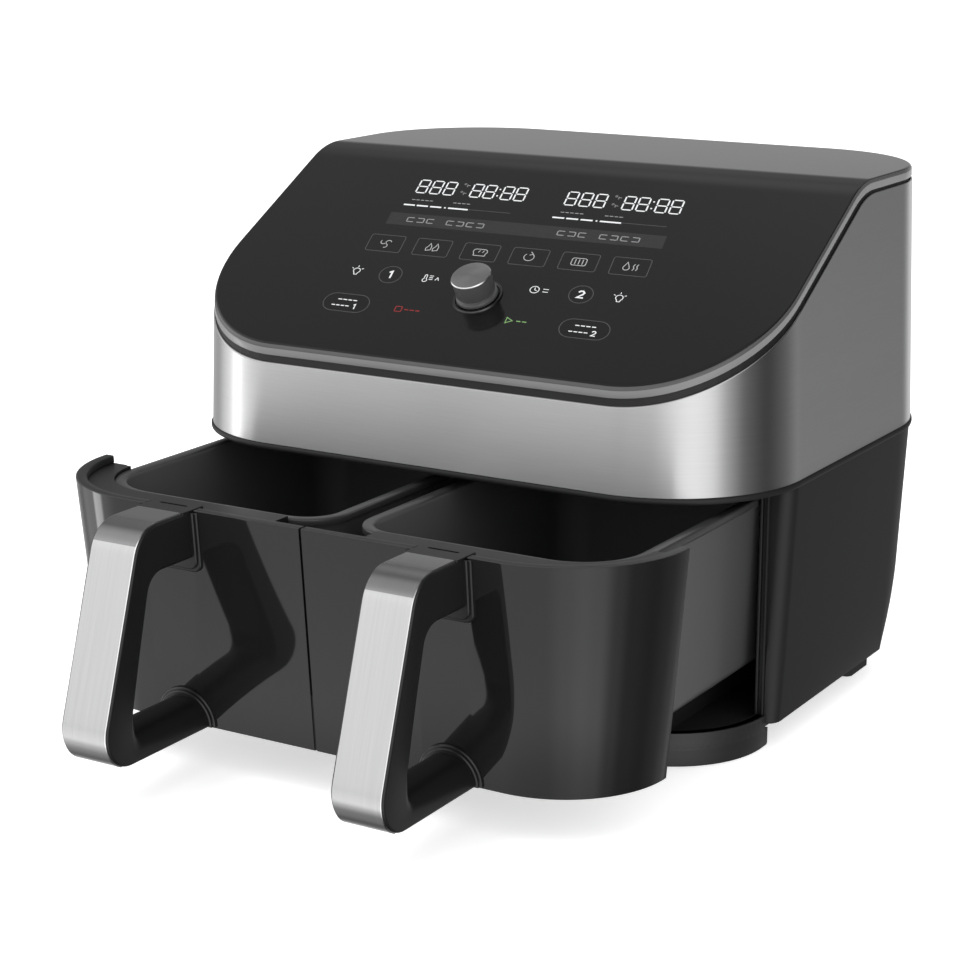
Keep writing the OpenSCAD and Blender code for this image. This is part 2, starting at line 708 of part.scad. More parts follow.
// Outer line of the handle from the drawer over the grip, inset by the strap or less.
function grip_line(inset, start_y, last) = concat(
    [[start_y, handle_top_z - inset]],
    arc(top_bend, bend_top_r - inset, 90, grip_angle),
    arc(low_bend, bend_low_r - inset, grip_angle, last));

module handle_outline() difference() {
    polygon(concat(grip_line(0, face_y(handle_top_z), 270), [[face_y(handle_low_z), handle_low_z]]));
    finger_opening();
}

opening_angle = 180 - opening_lean;
opening_offset = grip_offset - 23.1;
module finger_opening() {
    r_top = 14;
    r_low = 12;
    top = [tangent_y(opening_angle, opening_offset, opening_z[1] - r_top, r_top), opening_z[1] - r_top];
    low = [tangent_y(opening_angle, opening_offset, opening_z[0] + r_low, r_low), opening_z[0] + r_low];
    polygon(concat([[20, opening_z[1]]], arc(top, r_top, 90, opening_angle),
                   arc(low, r_low, opening_angle, 270), [[20, opening_z[0]]]));
}

strap_end = 248;
module strap_profile(proud) polygon(concat(
    grip_line(-proud, strap_back_y, strap_end),
    reverse(grip_line(strap_t, strap_back_y, strap_end))));

module handle_strap() across(strap_w, handle_x) strap_profile(0);

module handle_frame() difference() {
    union() {
        across(handle_w, handle_x) handle_outline();
        on_face(handle_x, handle_low_z + 1) linear_extrude(2.5) intersection() {
            circle(19);
            translate([-20, -0.8]) square([40, 30]);
        }
        on_face(handle_x, 135) translate([-19, -17, 0]) cube([38, 34, 2.5]);
        in_box([handle_x - handle_w / 2, strap_back_y, front_top_z - 1.4],
               [handle_x + handle_w / 2, 10, front_top_z + 0.2]);
    }
    across(strap_w + 0.02, handle_x) strap_profile(OVER);
    in_box([handle_x - 9, 3.2, front_top_z - 0.6], [handle_x + 9, 5.2, front_top_z + OVER]);
    for (z = [34, 138]) screw_axis(z) cylinder(18, r = screw_r + running_gap);
}

module handle_screws() for (z = [34, 138]) screw_axis(z) screw(15, screw_r, 3.6, 2.2);

// ---------- crisper trays ----------

module tray_plan(inset) basket_plan(inset + 6.2);

tray_mid = [(basket_x[0] + basket_x[1]) / 2, (basket_y[0] + basket_y[1]) / 2];

module crisper_tray() {
    translate([0, 0, tray_z]) linear_extrude(tray_t) difference() {
        tray_plan(0);
        for (i = [-4 : 4], j = [-6 : 6]) if (abs(i) + abs(j) > 1)
            translate(tray_mid + [i * 14.5, j * 14.5]) circle(3.6);
    }
    translate([0, 0, tray_z + tray_t - SLIVER]) linear_extrude(4) difference() { tray_plan(0); tray_plan(1.5); }
    translate([tray_mid[0], tray_mid[1], tray_z + tray_t - SLIVER]) linear_extrude(7) difference() {
        circle(9);
        circle(7);
    }
    for (x = [-50, 50], y = [-82, 82])
        translate(tray_mid + [x, y]) pillar([0, 0], basket_low_z + basket_t, tray_z + SLIVER, 3);
}

module tray_bumpers() for (x = [0, 1], y = [0, 1]) {
    corner = basket_corner(x, y, basket_r);
    reach = (corner[2] - 8.8) / sqrt(2);       // just proud of the tray's corner, clear of the basket
    translate([corner[0] + (2 * x - 1) * reach, corner[1] + (2 * y - 1) * reach, 0])
        pillar([0, 0], tray_z - 4, tray_z, 3.2);
}

module front_shell_left() color([0.17, 0.17, 0.175]) in_drawer(-1) front_shell();
module front_shell_right() color([0.17, 0.17, 0.175]) in_drawer(1) front_shell();
module inner_frame_left() color([0.08, 0.08, 0.085]) in_drawer(-1) inner_frame();
module inner_frame_right() color([0.08, 0.08, 0.085]) in_drawer(1) inner_frame();
module basket_left() color([0.24, 0.24, 0.245]) in_drawer(-1) basket();
module basket_right() color([0.24, 0.24, 0.245]) in_drawer(1) basket();
module handle_frame_left() color([0.07, 0.07, 0.075]) in_drawer(-1) handle_frame();
module handle_frame_right() color([0.07, 0.07, 0.075]) in_drawer(1) handle_frame();
module handle_strap_left() color([0.76, 0.76, 0.77]) in_drawer(-1) handle_strap();
module handle_strap_right() color([0.76, 0.76, 0.77]) in_drawer(1) handle_strap();
module handle_screws_left() color([0.70, 0.70, 0.72]) in_drawer(-1) handle_screws();
module handle_screws_right() color([0.70, 0.70, 0.72]) in_drawer(1) handle_screws();
module crisper_tray_left() color([0.20, 0.20, 0.205]) in_drawer(-1) crisper_tray();
module crisper_tray_right() color([0.20, 0.20, 0.205]) in_drawer(1) crisper_tray();
module tray_bumpers_left() color([0.30, 0.30, 0.31]) in_drawer(-1) tray_bumpers();
module tray_bumpers_right() color([0.30, 0.30, 0.31]) in_drawer(1) tray_bumpers();

top_cover();
upper_frame();
steel_band();
band_trim();
lower_housing();
base_pan();
front_foot();
rear_feet();
rear_grille();
cord_gland();
cavity_liner_left();
cavity_liner_right();
centre_divider();
front_bulkhead();
deck_plate();
heater_left();
heater_right();
heater_clips();
fan_guards();
motor_left();
motor_right();
motor_brackets();
lamp_holders();
lamp_lenses();
temperature_probes();
thermal_cutoffs();
drawer_switches();
power_board();
control_board();
displays();
encoder();
knob_ring();
case_screws();
base_screws();
convection_fan_left();
convection_fan_right();
fan_shaft_left();
fan_shaft_right();
cooling_fan_left();
cooling_fan_right();
knob_body();
knob_cap();
knob_shaft();
front_shell_left();
front_shell_right();
inner_frame_left();
inner_frame_right();
basket_left();
basket_right();
handle_frame_left();
handle_frame_right();
handle_strap_left();
handle_strap_right();
handle_screws_left();
handle_screws_right();
crisper_tray_left();
crisper_tray_right();
tray_bumpers_left();
tray_bumpers_right();
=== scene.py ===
"""Dual-basket air fryer: the finished look of every piece, the studio and the camera.

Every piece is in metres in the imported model's frame: X to the right, Y to the back, Z up.
"""

import json
import logging
import math
from dataclasses import dataclass, field
from enum import Enum
from typing import Callable, Sequence

import bmesh
import bpy
from mathutils import Matrix, Vector


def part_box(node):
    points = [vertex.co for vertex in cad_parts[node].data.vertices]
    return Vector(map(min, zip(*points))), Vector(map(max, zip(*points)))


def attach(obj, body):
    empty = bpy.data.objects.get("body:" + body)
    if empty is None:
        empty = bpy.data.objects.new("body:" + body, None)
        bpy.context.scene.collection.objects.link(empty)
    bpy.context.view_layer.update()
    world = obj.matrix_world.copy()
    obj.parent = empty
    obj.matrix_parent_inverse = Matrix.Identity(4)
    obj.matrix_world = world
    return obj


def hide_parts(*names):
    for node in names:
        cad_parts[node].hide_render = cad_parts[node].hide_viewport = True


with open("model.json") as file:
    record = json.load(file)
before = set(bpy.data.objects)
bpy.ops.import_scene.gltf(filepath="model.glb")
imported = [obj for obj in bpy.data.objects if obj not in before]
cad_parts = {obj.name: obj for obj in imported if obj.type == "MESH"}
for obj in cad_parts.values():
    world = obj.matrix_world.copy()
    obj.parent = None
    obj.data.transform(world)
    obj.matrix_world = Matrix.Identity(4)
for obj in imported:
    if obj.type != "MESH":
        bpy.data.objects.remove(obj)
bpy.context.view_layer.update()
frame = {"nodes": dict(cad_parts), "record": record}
LOG = logging.getLogger("air_fryer")

Tree = bpy.types.NodeTree
Node = bpy.types.Node
Socket = bpy.types.NodeSocket
Material = bpy.types.Material
Piece = bpy.types.Object
Loop = list[bmesh.types.BMVert]
Colour = tuple[float, float, float]
Plan = tuple[float, float]
Profile = Sequence[Plan]


# ---------------------------------------------------------------------------
# Shader groups that several finishes share
# ---------------------------------------------------------------------------


class Grain(Enum):
    """Which way the fine lines of a brushed metal run."""

    LEVEL = "level"
    ALONG = "along"
    SPUN = "spun"


GRAIN_SQUEEZE = {Grain.LEVEL: (0.02, 0.02, 1.0), Grain.ALONG: (1.0, 0.02, 0.02), Grain.SPUN: (0.3, 0.3, 0.3)}


def add_group(name: str, inputs: dict[str, float], outputs: Sequence[str]) -> tuple[Tree, Node, Node]:
    """Makes an empty shader node group with named number sockets.

    Args:
        name: Name of the group.
        inputs: Default value of each input.
        outputs: Names of the outputs.

    Returns:
        The group's tree, its input node and its output node.
    """
    tree = bpy.data.node_groups.new(name, "ShaderNodeTree")
    for label, default in inputs.items():
        socket = tree.interface.new_socket(name=label, in_out="INPUT", socket_type="NodeSocketFloat")
        socket.default_value = default
    for label in outputs:
        tree.interface.new_socket(name=label, in_out="OUTPUT", socket_type="NodeSocketFloat")
    return tree, tree.nodes.new("NodeGroupInput"), tree.nodes.new("NodeGroupOutput")


def add_node(tree: Tree, kind: str, **settings: object) -> Node:
    """Adds a node of a kind to a tree and sets its properties.

    Args:
        tree: Tree that gets the node.
        kind: The node's type name.
        **settings: Its properties and their values.

    Returns:
        The node.
    """
    node = tree.nodes.new(kind)
    for key, value in settings.items():
        setattr(node, key, value)
    return node


def set_inputs(node: Node, values: dict[str, object]) -> None:
    """Sets named inputs of a node to constants."""
    for label, value in values.items():
        node.inputs[label].default_value = value


def feed(tree: Tree, value: object, socket: Socket) -> None:
    """Gives an input its value, which is a socket to link or a number.

    Args:
        tree: Tree that holds the input.
        value: A socket or a number.
        socket: The input.
    """
    if isinstance(value, Socket):
        tree.links.new(value, socket)
    else:
        socket.default_value = value


def calculate(tree: Tree, operation: str, first: object, second: object) -> Socket:
    """Adds a Math node on two values, each a socket or a number.

    Args:
        tree: Tree that gets the node.
        operation: The node's operation.
        first: A socket or a number.
        second: A socket or a number.

    Returns:
        The output socket.
    """
    node = add_node(tree, "ShaderNodeMath", operation=operation)
    feed(tree, first, node.inputs[0])
    feed(tree, second, node.inputs[1])
    return node.outputs[0]


def scale_and_shift(tree: Tree, value: object, factor: float, shift: float) -> Socket:
    """Multiplies a value by a factor, then adds to it."""
    return calculate(tree, "ADD", calculate(tree, "MULTIPLY", value, factor), shift)


def noise(tree: Tree, vector: Socket, scale: object, detail: float) -> Socket:
    """Adds a Noise Texture and returns its value output.

    Args:
        tree: Tree that gets the node.
        vector: Place that the pattern is read at.
        scale: Fineness of the pattern, a socket or a number.
        detail: Number of finer layers.

    Returns:
        The output socket.
    """
    node = add_node(tree, "ShaderNodeTexNoise")
    tree.links.new(vector, node.inputs["Vector"])
    feed(tree, scale, node.inputs["Scale"])
    node.inputs["Detail"].default_value = detail
    return node.outputs["Fac"]


def object_place(tree: Tree) -> Socket:
    """Adds Texture Coordinate and returns the place on the object."""
    return add_node(tree, "ShaderNodeTexCoord").outputs["Object"]


def spread_roughness(tree: Tree, entry: Node, leave: Node, centred: Socket) -> None:
    """Lets the group's roughness swing about its input with a pattern centred on zero."""
    swing = calculate(tree, "MULTIPLY", centred, entry.outputs["Spread"])
    tree.links.new(calculate(tree, "ADD", swing, entry.outputs["Roughness"]), leave.inputs["Roughness"])


def build_mould_group() -> Tree:
    """Moulded plastic: fine surface grain, slow waviness and uneven sheen.

    Returns:
        The group's tree.
    """
    tree, entry, leave = add_group(
        "moulded_surface", {"Roughness": 0.3, "Spread": 0.05, "Grain Size": 900.0, "Grain Height": 0.3},
        ("Roughness", "Height", "Tone"))
    place = object_place(tree)
    cloud = noise(tree, place, 14.0, 3.0)
    grain = noise(tree, place, entry.outputs["Grain Size"], 2.0)
    spread_roughness(tree, entry, leave, calculate(tree, "SUBTRACT", cloud, 0.5))
    height = calculate(tree, "MULTIPLY", grain, entry.outputs["Grain Height"])
    tree.links.new(height, leave.inputs["Height"])
    tree.links.new(scale_and_shift(tree, cloud, 0.2, 0.9), leave.inputs["Tone"])
    return tree


def build_brush_group() -> Tree:
    """Brushed metal: long fine lines across a direction given by the stretched place.

    Returns:
        The group's tree.
    """
    tree, entry, leave = add_group(
        "brushed_lines", {"Line Count": 900.0, "Roughness": 0.3, "Spread": 0.1, "Depth": 0.5},
        ("Roughness", "Height", "Tone"))
    tree.interface.new_socket(name="Place", in_out="INPUT", socket_type="NodeSocketVector")
    place = entry.outputs["Place"]
    lines = noise(tree, place, entry.outputs["Line Count"], 3.0)
    broad = calculate(tree, "MULTIPLY", noise(tree, place, 40.0, 2.0), 0.3)
    mixed = calculate(tree, "ADD", calculate(tree, "MULTIPLY", lines, 0.7), broad)
    centred = calculate(tree, "SUBTRACT", mixed, 0.5)
    spread_roughness(tree, entry, leave, centred)
    height = calculate(tree, "MULTIPLY", lines, entry.outputs["Depth"])
    tree.links.new(height, leave.inputs["Height"])
    tree.links.new(scale_and_shift(tree, centred, 0.18, 1.0), leave.inputs["Tone"])
    return tree


def build_speckle_group() -> Tree:
    """Non-stick coating: tiny pale flecks and a pebbled surface.

    Returns:
        The group's tree.
    """
    tree, entry, leave = add_group(
        "coating_specks", {"Fleck Size": 1400.0, "Fleck Share": 0.12, "Pebble Height": 0.4},
        ("Flecks", "Height"))
    place = object_place(tree)
    cells = add_node(tree, "ShaderNodeTexVoronoi")
    tree.links.new(place, cells.inputs["Vector"])
    tree.links.new(entry.outputs["Fleck Size"], cells.inputs["Scale"])
    near = calculate(tree, "LESS_THAN", cells.outputs["Distance"], entry.outputs["Fleck Share"])
    tree.links.new(near, leave.inputs["Flecks"])
    height = calculate(tree, "MULTIPLY", noise(tree, place, 700.0, 3.0), entry.outputs["Pebble Height"])
    tree.links.new(height, leave.inputs["Height"])
    return tree


GROUPS = {"mould": build_mould_group(), "brush": build_brush_group(), "speckle": build_speckle_group()}


# ---------------------------------------------------------------------------
# Finishes
# ---------------------------------------------------------------------------


def new_material(name: str, colour: Colour, roughness: float, metallic: float = 0.0) -> tuple:
    """Starts a material.

    Args:
        name: Name of the material.
        colour: Base colour, linear.
        roughness: Roughness where nothing else drives it.
        metallic: 1 for bare metal.

    Returns:
        The material, its node tree and its Principled node.
    """
    material = bpy.data.materials.new(name)
    material.use_nodes = True
    tree = material.node_tree
    shader = tree.nodes["Principled BSDF"]
    set_inputs(shader, {"Base Color": (*colour, 1.0), "Roughness": roughness, "Metallic": metallic})
    return material, tree, shader


def use_group(tree: Tree, key: str, values: dict[str, float]) -> Node:
    """Adds a shared group with its own constants.

    Args:
        tree: Tree that gets the node.
        key: Short name of the group.
        values: Values of its inputs, by name.

    Returns:
        The group node.
    """
    group = add_node(tree, "ShaderNodeGroup", node_tree=GROUPS[key])
    set_inputs(group, values)
    return group


def tint(tree: Tree, shader: Node, colour: Colour, tone: Socket) -> None:
    """Multiplies a base colour by a tone that changes over the surface.

    Args:
        tree: Tree that gets the nodes.
        shader: The material's Principled node.
        colour: Base colour, linear.
        tone: Socket that gives the tone.
    """
    mix = add_node(tree, "ShaderNodeVectorMath", operation="SCALE")
    mix.inputs[0].default_value = colour
    tree.links.new(tone, mix.inputs["Scale"])
    tree.links.new(mix.outputs[0], shader.inputs["Base Color"])


def raise_surface(tree: Tree, shader: Node, height: Socket, distance: float, strength: float) -> None:
    """Feeds a height through a Bump node into the shader's normal.

    Args:
        tree: Tree that gets the nodes.
        shader: The material's Principled node.
        height: Socket that gives the height.
        distance: Depth of the relief.
        strength: Strength of the relief.
    """
    bump = add_node(tree, "ShaderNodeBump")
    set_inputs(bump, {"Distance": distance, "Strength": strength})
    tree.links.new(height, bump.inputs["Height"])
    tree.links.new(bump.outputs["Normal"], shader.inputs["Normal"])


def wear(tree: Tree, shader: Node, group: Node, colour: Colour, distance: float, bump: float) -> None:
    """Feeds a group's roughness, tone and height into the shader.

    Args:
        tree: The material's tree.
        shader: Its Principled node.
        group: The group node.
        colour: Base colour that the tone scales.
        distance: Depth of the relief.
        bump: Strength of the relief.
    """
    tree.links.new(group.outputs["Roughness"], shader.inputs["Roughness"])
    tint(tree, shader, colour, group.outputs["Tone"])
    raise_surface(tree, shader, group.outputs["Height"], distance, bump)


@dataclass(frozen=True)
class Moulded:
    """Moulded plastic, rubber or enamel, from mirror-smooth to matt."""

    name: str
    colour: Colour
    roughness: float
    spread: float = 0.06
    grain_size: float = 900.0
    bump: float = 0.12

    def build(self) -> Material:
        """Makes the material.

        Returns:
            The material.
        """
        material, tree, shader = new_material(self.name, self.colour, self.roughness)
        group = use_group(tree, "mould", {
            "Roughness": self.roughness, "Spread": self.spread, "Grain Size": self.grain_size})
        wear(tree, shader, group, self.colour, 0.00006, self.bump)
        return material


@dataclass(frozen=True)
class Brushed:
    """Metal with fine lines in one direction, which stretch its reflections across them."""

    name: str
    colour: Colour
    roughness: float
    grain: Grain = Grain.LEVEL
    anisotropy: float = 0.6
    spread: float = 0.12
    bump: float = 0.06
    line_count: float = 900.0

    def build(self) -> Material:
        """Makes the material.

        Returns:
            The material.
        """
        material, tree, shader = new_material(self.name, self.colour, self.roughness, metallic=1.0)
        squeeze = add_node(tree, "ShaderNodeVectorMath", operation="MULTIPLY")
        tree.links.new(object_place(tree), squeeze.inputs[0])
        squeeze.inputs[1].default_value = GRAIN_SQUEEZE[self.grain]
        group = use_group(tree, "brush", {
            "Line Count": self.line_count, "Roughness": self.roughness, "Spread": self.spread})
        tree.links.new(squeeze.outputs[0], group.inputs["Place"])
        wear(tree, shader, group, self.colour, 0.00003, self.bump)
        if self.anisotropy > 0:
            set_inputs(shader, {"Anisotropic": self.anisotropy, "Anisotropic Rotation": 0.25})
            axis = "X" if self.grain is Grain.ALONG else "Z"
            tangent = add_node(tree, "ShaderNodeTangent", direction_type="RADIAL", axis=axis)
            tree.links.new(tangent.outputs["Tangent"], shader.inputs["Tangent"])
        return material


@dataclass(frozen=True)
class Coated:
    """Metal under a dark non-stick coating with tiny flecks."""

    name: str
    colour: Colour
    fleck_colour: Colour
    roughness: float

    def build(self) -> Material:
        """Makes the material.

        Returns:
            The material.
        """
        material, tree, shader = new_material(self.name, self.colour, self.roughness)
        group = use_group(tree, "speckle", {})
        mix = add_node(tree, "ShaderNodeMix", data_type="RGBA")
        set_inputs(mix, {"A": (*self.colour, 1.0), "B": (*self.fleck_colour, 1.0)})
        tree.links.new(group.outputs["Flecks"], mix.inputs["Factor"])
        tree.links.new(mix.outputs["Result"], shader.inputs["Base Color"])
        raise_surface(tree, shader, group.outputs["Height"], 0.00008, 0.25)
        return material


@dataclass(frozen=True)
class PlainMetal:
    """Bare or plated metal with faint handling marks."""

    name: str
    colour: Colour
    roughness: float
    spread: float = 0.12

    def build(self) -> Material:
        """Makes the material.

        Returns:
            The material.
        """
        material, tree, shader = new_material(self.name, self.colour, self.roughness, metallic=1.0)
        group = use_group(tree, "mould", {
            "Roughness": self.roughness, "Spread": self.spread, "Grain Size": 500.0})
        wear(tree, shader, group, self.colour, 0.00003, 0.08)
        return material


@dataclass(frozen=True)
class CircuitBoard:
    """Solder-masked laminate with paler copper tracks."""

    name: str
    mask: Colour
    track: Colour

    def build(self) -> Material:
        """Makes the material.

        Returns:
            The material.
        """
        material, tree, shader = new_material(self.name, self.mask, 0.35)
        bricks = add_node(tree, "ShaderNodeTexBrick")
        set_inputs(bricks, {
            "Scale": 90.0, "Mortar Size": 0.06, "Mortar": (*self.track, 1.0), "Color1": (*self.mask, 1.0),
            "Color2": (*[c * 1.25 for c in self.mask], 1.0)})
        tree.links.new(object_place(tree), bricks.inputs["Vector"])
        tree.links.new(bricks.outputs["Color"], shader.inputs["Base Color"])
        raise_surface(tree, shader, bricks.outputs["Fac"], 0.00005, 0.2)
        return material


@dataclass(frozen=True)
class Glass:
    """Clear lamp glass."""

    name: str
    colour: Colour

    def build(self) -> Material:
        """Makes the material.

        Returns:
            The material.
        """
        material, tree, shader = new_material(self.name, self.colour, 0.05)
        set_inputs(shader, {"Transmission Weight": 1.0, "IOR": 1.47})
        raise_surface(tree, shader, noise(tree, object_place(tree), 60.0, 2.0), 0.0001, 0.1)
        return material


@dataclass(frozen=True)
class Ink:
    """Printed or lit marking under the panel's gloss."""

    name: str
    colour: Colour
    glow: float

    def build(self) -> Material:
        """Makes the material.

        Returns:
            The material.
        """
        material, tree, shader = new_material(self.name, self.colour, 0.25)
        patch = noise(tree, object_place(tree), 220.0, 2.0)
        tint(tree, shader, self.colour, scale_and_shift(tree, patch, 0.3, 0.85))
        set_inputs(shader, {"Emission Color": (*self.colour, 1.0), "Emission Strength": self.glow})
        return material


FINISHES = [
    Moulded("gloss_cover", (0.006, 0.006, 0.0063), 0.10, spread=0.03, grain_size=60.0, bump=0.004),
    Moulded("housing_plastic", (0.0080, 0.0080, 0.0083), 0.56, grain_size=1500.0, bump=0.16),
    Brushed("band_steel", (0.62, 0.62, 0.625), 0.33, anisotropy=0.85, spread=0.06, bump=0.03,
            line_count=1600.0),
    Moulded("base_plastic", (0.019, 0.019, 0.0193), 0.40, grain_size=1500.0, bump=0.16),
    Moulded("foot_plastic", (0.018, 0.018, 0.0183), 0.45, grain_size=1500.0, bump=0.2),
    Moulded("foot_rubber", (0.016, 0.016, 0.016), 0.70, grain_size=700.0, bump=0.35),
    Moulded("grille_plastic", (0.018, 0.018, 0.0185), 0.40, grain_size=1500.0, bump=0.16),
    Moulded("gland_rubber", (0.015, 0.015, 0.015), 0.65, grain_size=700.0, bump=0.3),
    Coated("liner_enamel", (0.020, 0.020, 0.021), (0.05, 0.05, 0.05), 0.45),
    Coated("divider_steel", (0.022, 0.022, 0.023), (0.05, 0.05, 0.05), 0.45),
    PlainMetal("bulkhead_steel", (0.10, 0.10, 0.105), 0.42),
    PlainMetal("heater_steel", (0.22, 0.20, 0.18), 0.38, spread=0.3),
    PlainMetal("clip_steel", (0.48, 0.48, 0.48), 0.32),
    Brushed("guard_steel", (0.50, 0.50, 0.51), 0.30, grain=Grain.LEVEL, anisotropy=0.0),
    PlainMetal("motor_steel", (0.42, 0.42, 0.43), 0.35),
    PlainMetal("bracket_steel", (0.52, 0.52, 0.52), 0.33),
    Moulded("lamp_ceramic", (0.66, 0.65, 0.61), 0.50, grain_size=400.0, bump=0.3),
    Glass("lamp_glass", (0.96, 0.94, 0.88)),
    PlainMetal("probe_steel", (0.58, 0.58, 0.58), 0.20),
    Moulded("cutoff_phenolic", (0.075, 0.055, 0.04), 0.50, grain_size=300.0, bump=0.3),
    Moulded("switch_plastic", (0.014, 0.014, 0.015), 0.40),
    CircuitBoard("board_laminate", (0.012, 0.075, 0.035), (0.04, 0.16, 0.08)),
    Moulded("display_plastic", (0.03, 0.03, 0.033), 0.15, spread=0.02),
    PlainMetal("encoder_alloy", (0.48, 0.49, 0.50), 0.33),
    PlainMetal("knob_ring_chrome", (0.10, 0.10, 0.102), 0.22, spread=0.05),
    PlainMetal("screw_steel", (0.62, 0.62, 0.63), 0.28),
    PlainMetal("black_screw_steel", (0.06, 0.06, 0.06), 0.38),
    Brushed("fan_alloy", (0.62, 0.62, 0.63), 0.32, anisotropy=0.0),
    PlainMetal("shaft_steel", (0.58, 0.58, 0.59), 0.22),
    Moulded("cooling_fan_plastic", (0.024, 0.024, 0.024), 0.45, bump=0.2),
    Moulded("knob_plastic", (0.080, 0.080, 0.081), 0.28, grain_size=1800.0, bump=0.1),
    Brushed("knob_alloy", (0.43, 0.43, 0.435), 0.34, grain=Grain.SPUN, anisotropy=0.6, bump=0.02),
    Moulded("front_gloss", (0.009, 0.009, 0.0092), 0.05, spread=0.0, grain_size=70.0, bump=0.0),
    # The next two are lighter copies of the cover plastic: painted reflection on the rim's fillet and face.
    Moulded("cover_fillet_painted_reflection", (0.072, 0.072, 0.0725), 0.24, spread=0.03, grain_size=60.0, bump=0.01),
    Moulded("cover_rim_painted_reflection", (0.20, 0.20, 0.201), 0.24, spread=0.03, grain_size=60.0, bump=0.01),
    # Rim plastic for the basket rims. It is also a lighter band on the drawer fronts' upper bevel, which is a
    # painted highlight.
    Moulded("rim_plastic_and_painted_bevel_highlight", (0.035, 0.035, 0.0355), 0.32, grain_size=1500.0, bump=0.1),
    Moulded("frame_plastic", (0.006, 0.006, 0.0062), 0.40, grain_size=1500.0, bump=0.1),
    # Inside of the baskets: a lighter copy of the coating than the outside. This is painted fill light that
    # lifts the shade in the deep tub.
    Coated("basket_coating", (0.090, 0.090, 0.0905), (0.11, 0.11, 0.11), 0.60),
    Coated("basket_side", (0.060, 0.060, 0.061), (0.09, 0.09, 0.09), 0.30),
    Moulded("handle_plastic", (0.0075, 0.0075, 0.0077), 0.34, grain_size=1600.0, bump=0.08),
    Brushed("strap_steel", (0.67, 0.67, 0.675), 0.24, Grain.ALONG, 0.5, 0.02, 0.01),
    # Darker copy of the strap steel for its top arm and bend: painted shade standing in for the dark
    # reflection there.
    Brushed("strap_top_painted_shade_steel", (0.36, 0.36, 0.365), 0.24, Grain.ALONG, 0.5, 0.02, 0.01),
    PlainMetal("band_edge_steel", (0.52, 0.52, 0.52), 0.20, spread=0.03),
    # Smoother polished steel for the strap edges and the knob's bevel. Its brighter colour is a painted
    # highlight.
    PlainMetal("polished_edge_steel_painted_highlight", (0.80, 0.80, 0.80), 0.12, spread=0.03),
    Coated("tray_coating", (0.030, 0.030, 0.031), (0.06, 0.06, 0.06), 0.36),
    Moulded("bumper_silicone", (0.05, 0.05, 0.05), 0.55, grain_size=500.0, bump=0.3),
    Ink("white_print", (0.64, 0.65, 0.66), 0.24),
    Ink("dim_print", (0.25, 0.25, 0.255), 0.0),
    Ink("mid_print", (0.38, 0.38, 0.385), 0.03),
    Ink("faint_print", (0.060, 0.060, 0.061), 0.0),
    Ink("band_print", (0.022, 0.022, 0.0225), 0.0),
    Ink("shade_print", (0.0035, 0.0035, 0.0036), 0.0),
    Ink("red_print", (0.25, 0.02, 0.02), 0.05),
    Ink("green_print", (0.17, 0.32, 0.12), 0.10),
]
MATERIALS = {finish.name: finish.build() for finish in FINISHES}


# ---------------------------------------------------------------------------
# Mesh tools
# ---------------------------------------------------------------------------


def arc(centre: Plan, radius: float, start: float, end: float, steps: int) -> list[Plan]:
    """Points on an arc, with angles in degrees."""
    turn = [math.radians(start + (end - start) * i / steps) for i in range(steps + 1)]
    return [(centre[0] + radius * math.cos(a), centre[1] + radius * math.sin(a)) for a in turn]


@dataclass(frozen=True)
class Station:
    """A place on an outline: a point, and the outward direction there."""

    x: float
    y: float
    nx: float
    ny: float

    def inset(self, distance: float) -> Plan:
        """The point moved inwards."""
        return self.x - self.nx * distance, self.y - self.ny * distance

    def mirrored(self) -> "Station":
        """The same place on the other side of the middle."""
        return Station(-self.x, self.y, -self.nx, self.ny)


def bend(centre: Plan, radius: float, start: float, end: float, steps: int) -> list[Station]:
    """Stations round a corner, with angles in degrees.

    Args:
        centre: Centre of the corner's circle.
        radius: Its radius.
        start: Angle where the corner starts.
        end: Angle where it ends.
        steps: Number of steps.

    Returns:
        The stations, both ends included.
    """
    stations = []
    for i in range(steps + 1):
        a = math.radians(start + (end - start) * i / steps)
        nx, ny = math.cos(a), math.sin(a)
        stations.append(Station(centre[0] + radius * nx, centre[1] + radius * ny, nx, ny))
    return stations


def between(first: Station, last: Station, steps: int) -> list[Station]:
    """Stations strictly between two that face the same way.

    Args:
        first: Station before them.
        last: Station after them.
        steps: Number of steps from the first to the last.

    Returns:
        The stations, both ends left out.
    """
    shares = [i / steps for i in range(1, steps)]
    return [Station(first.x + (last.x - first.x) * s, first.y + (last.y - first.y) * s, first.nx, first.ny)
            for s in shares]


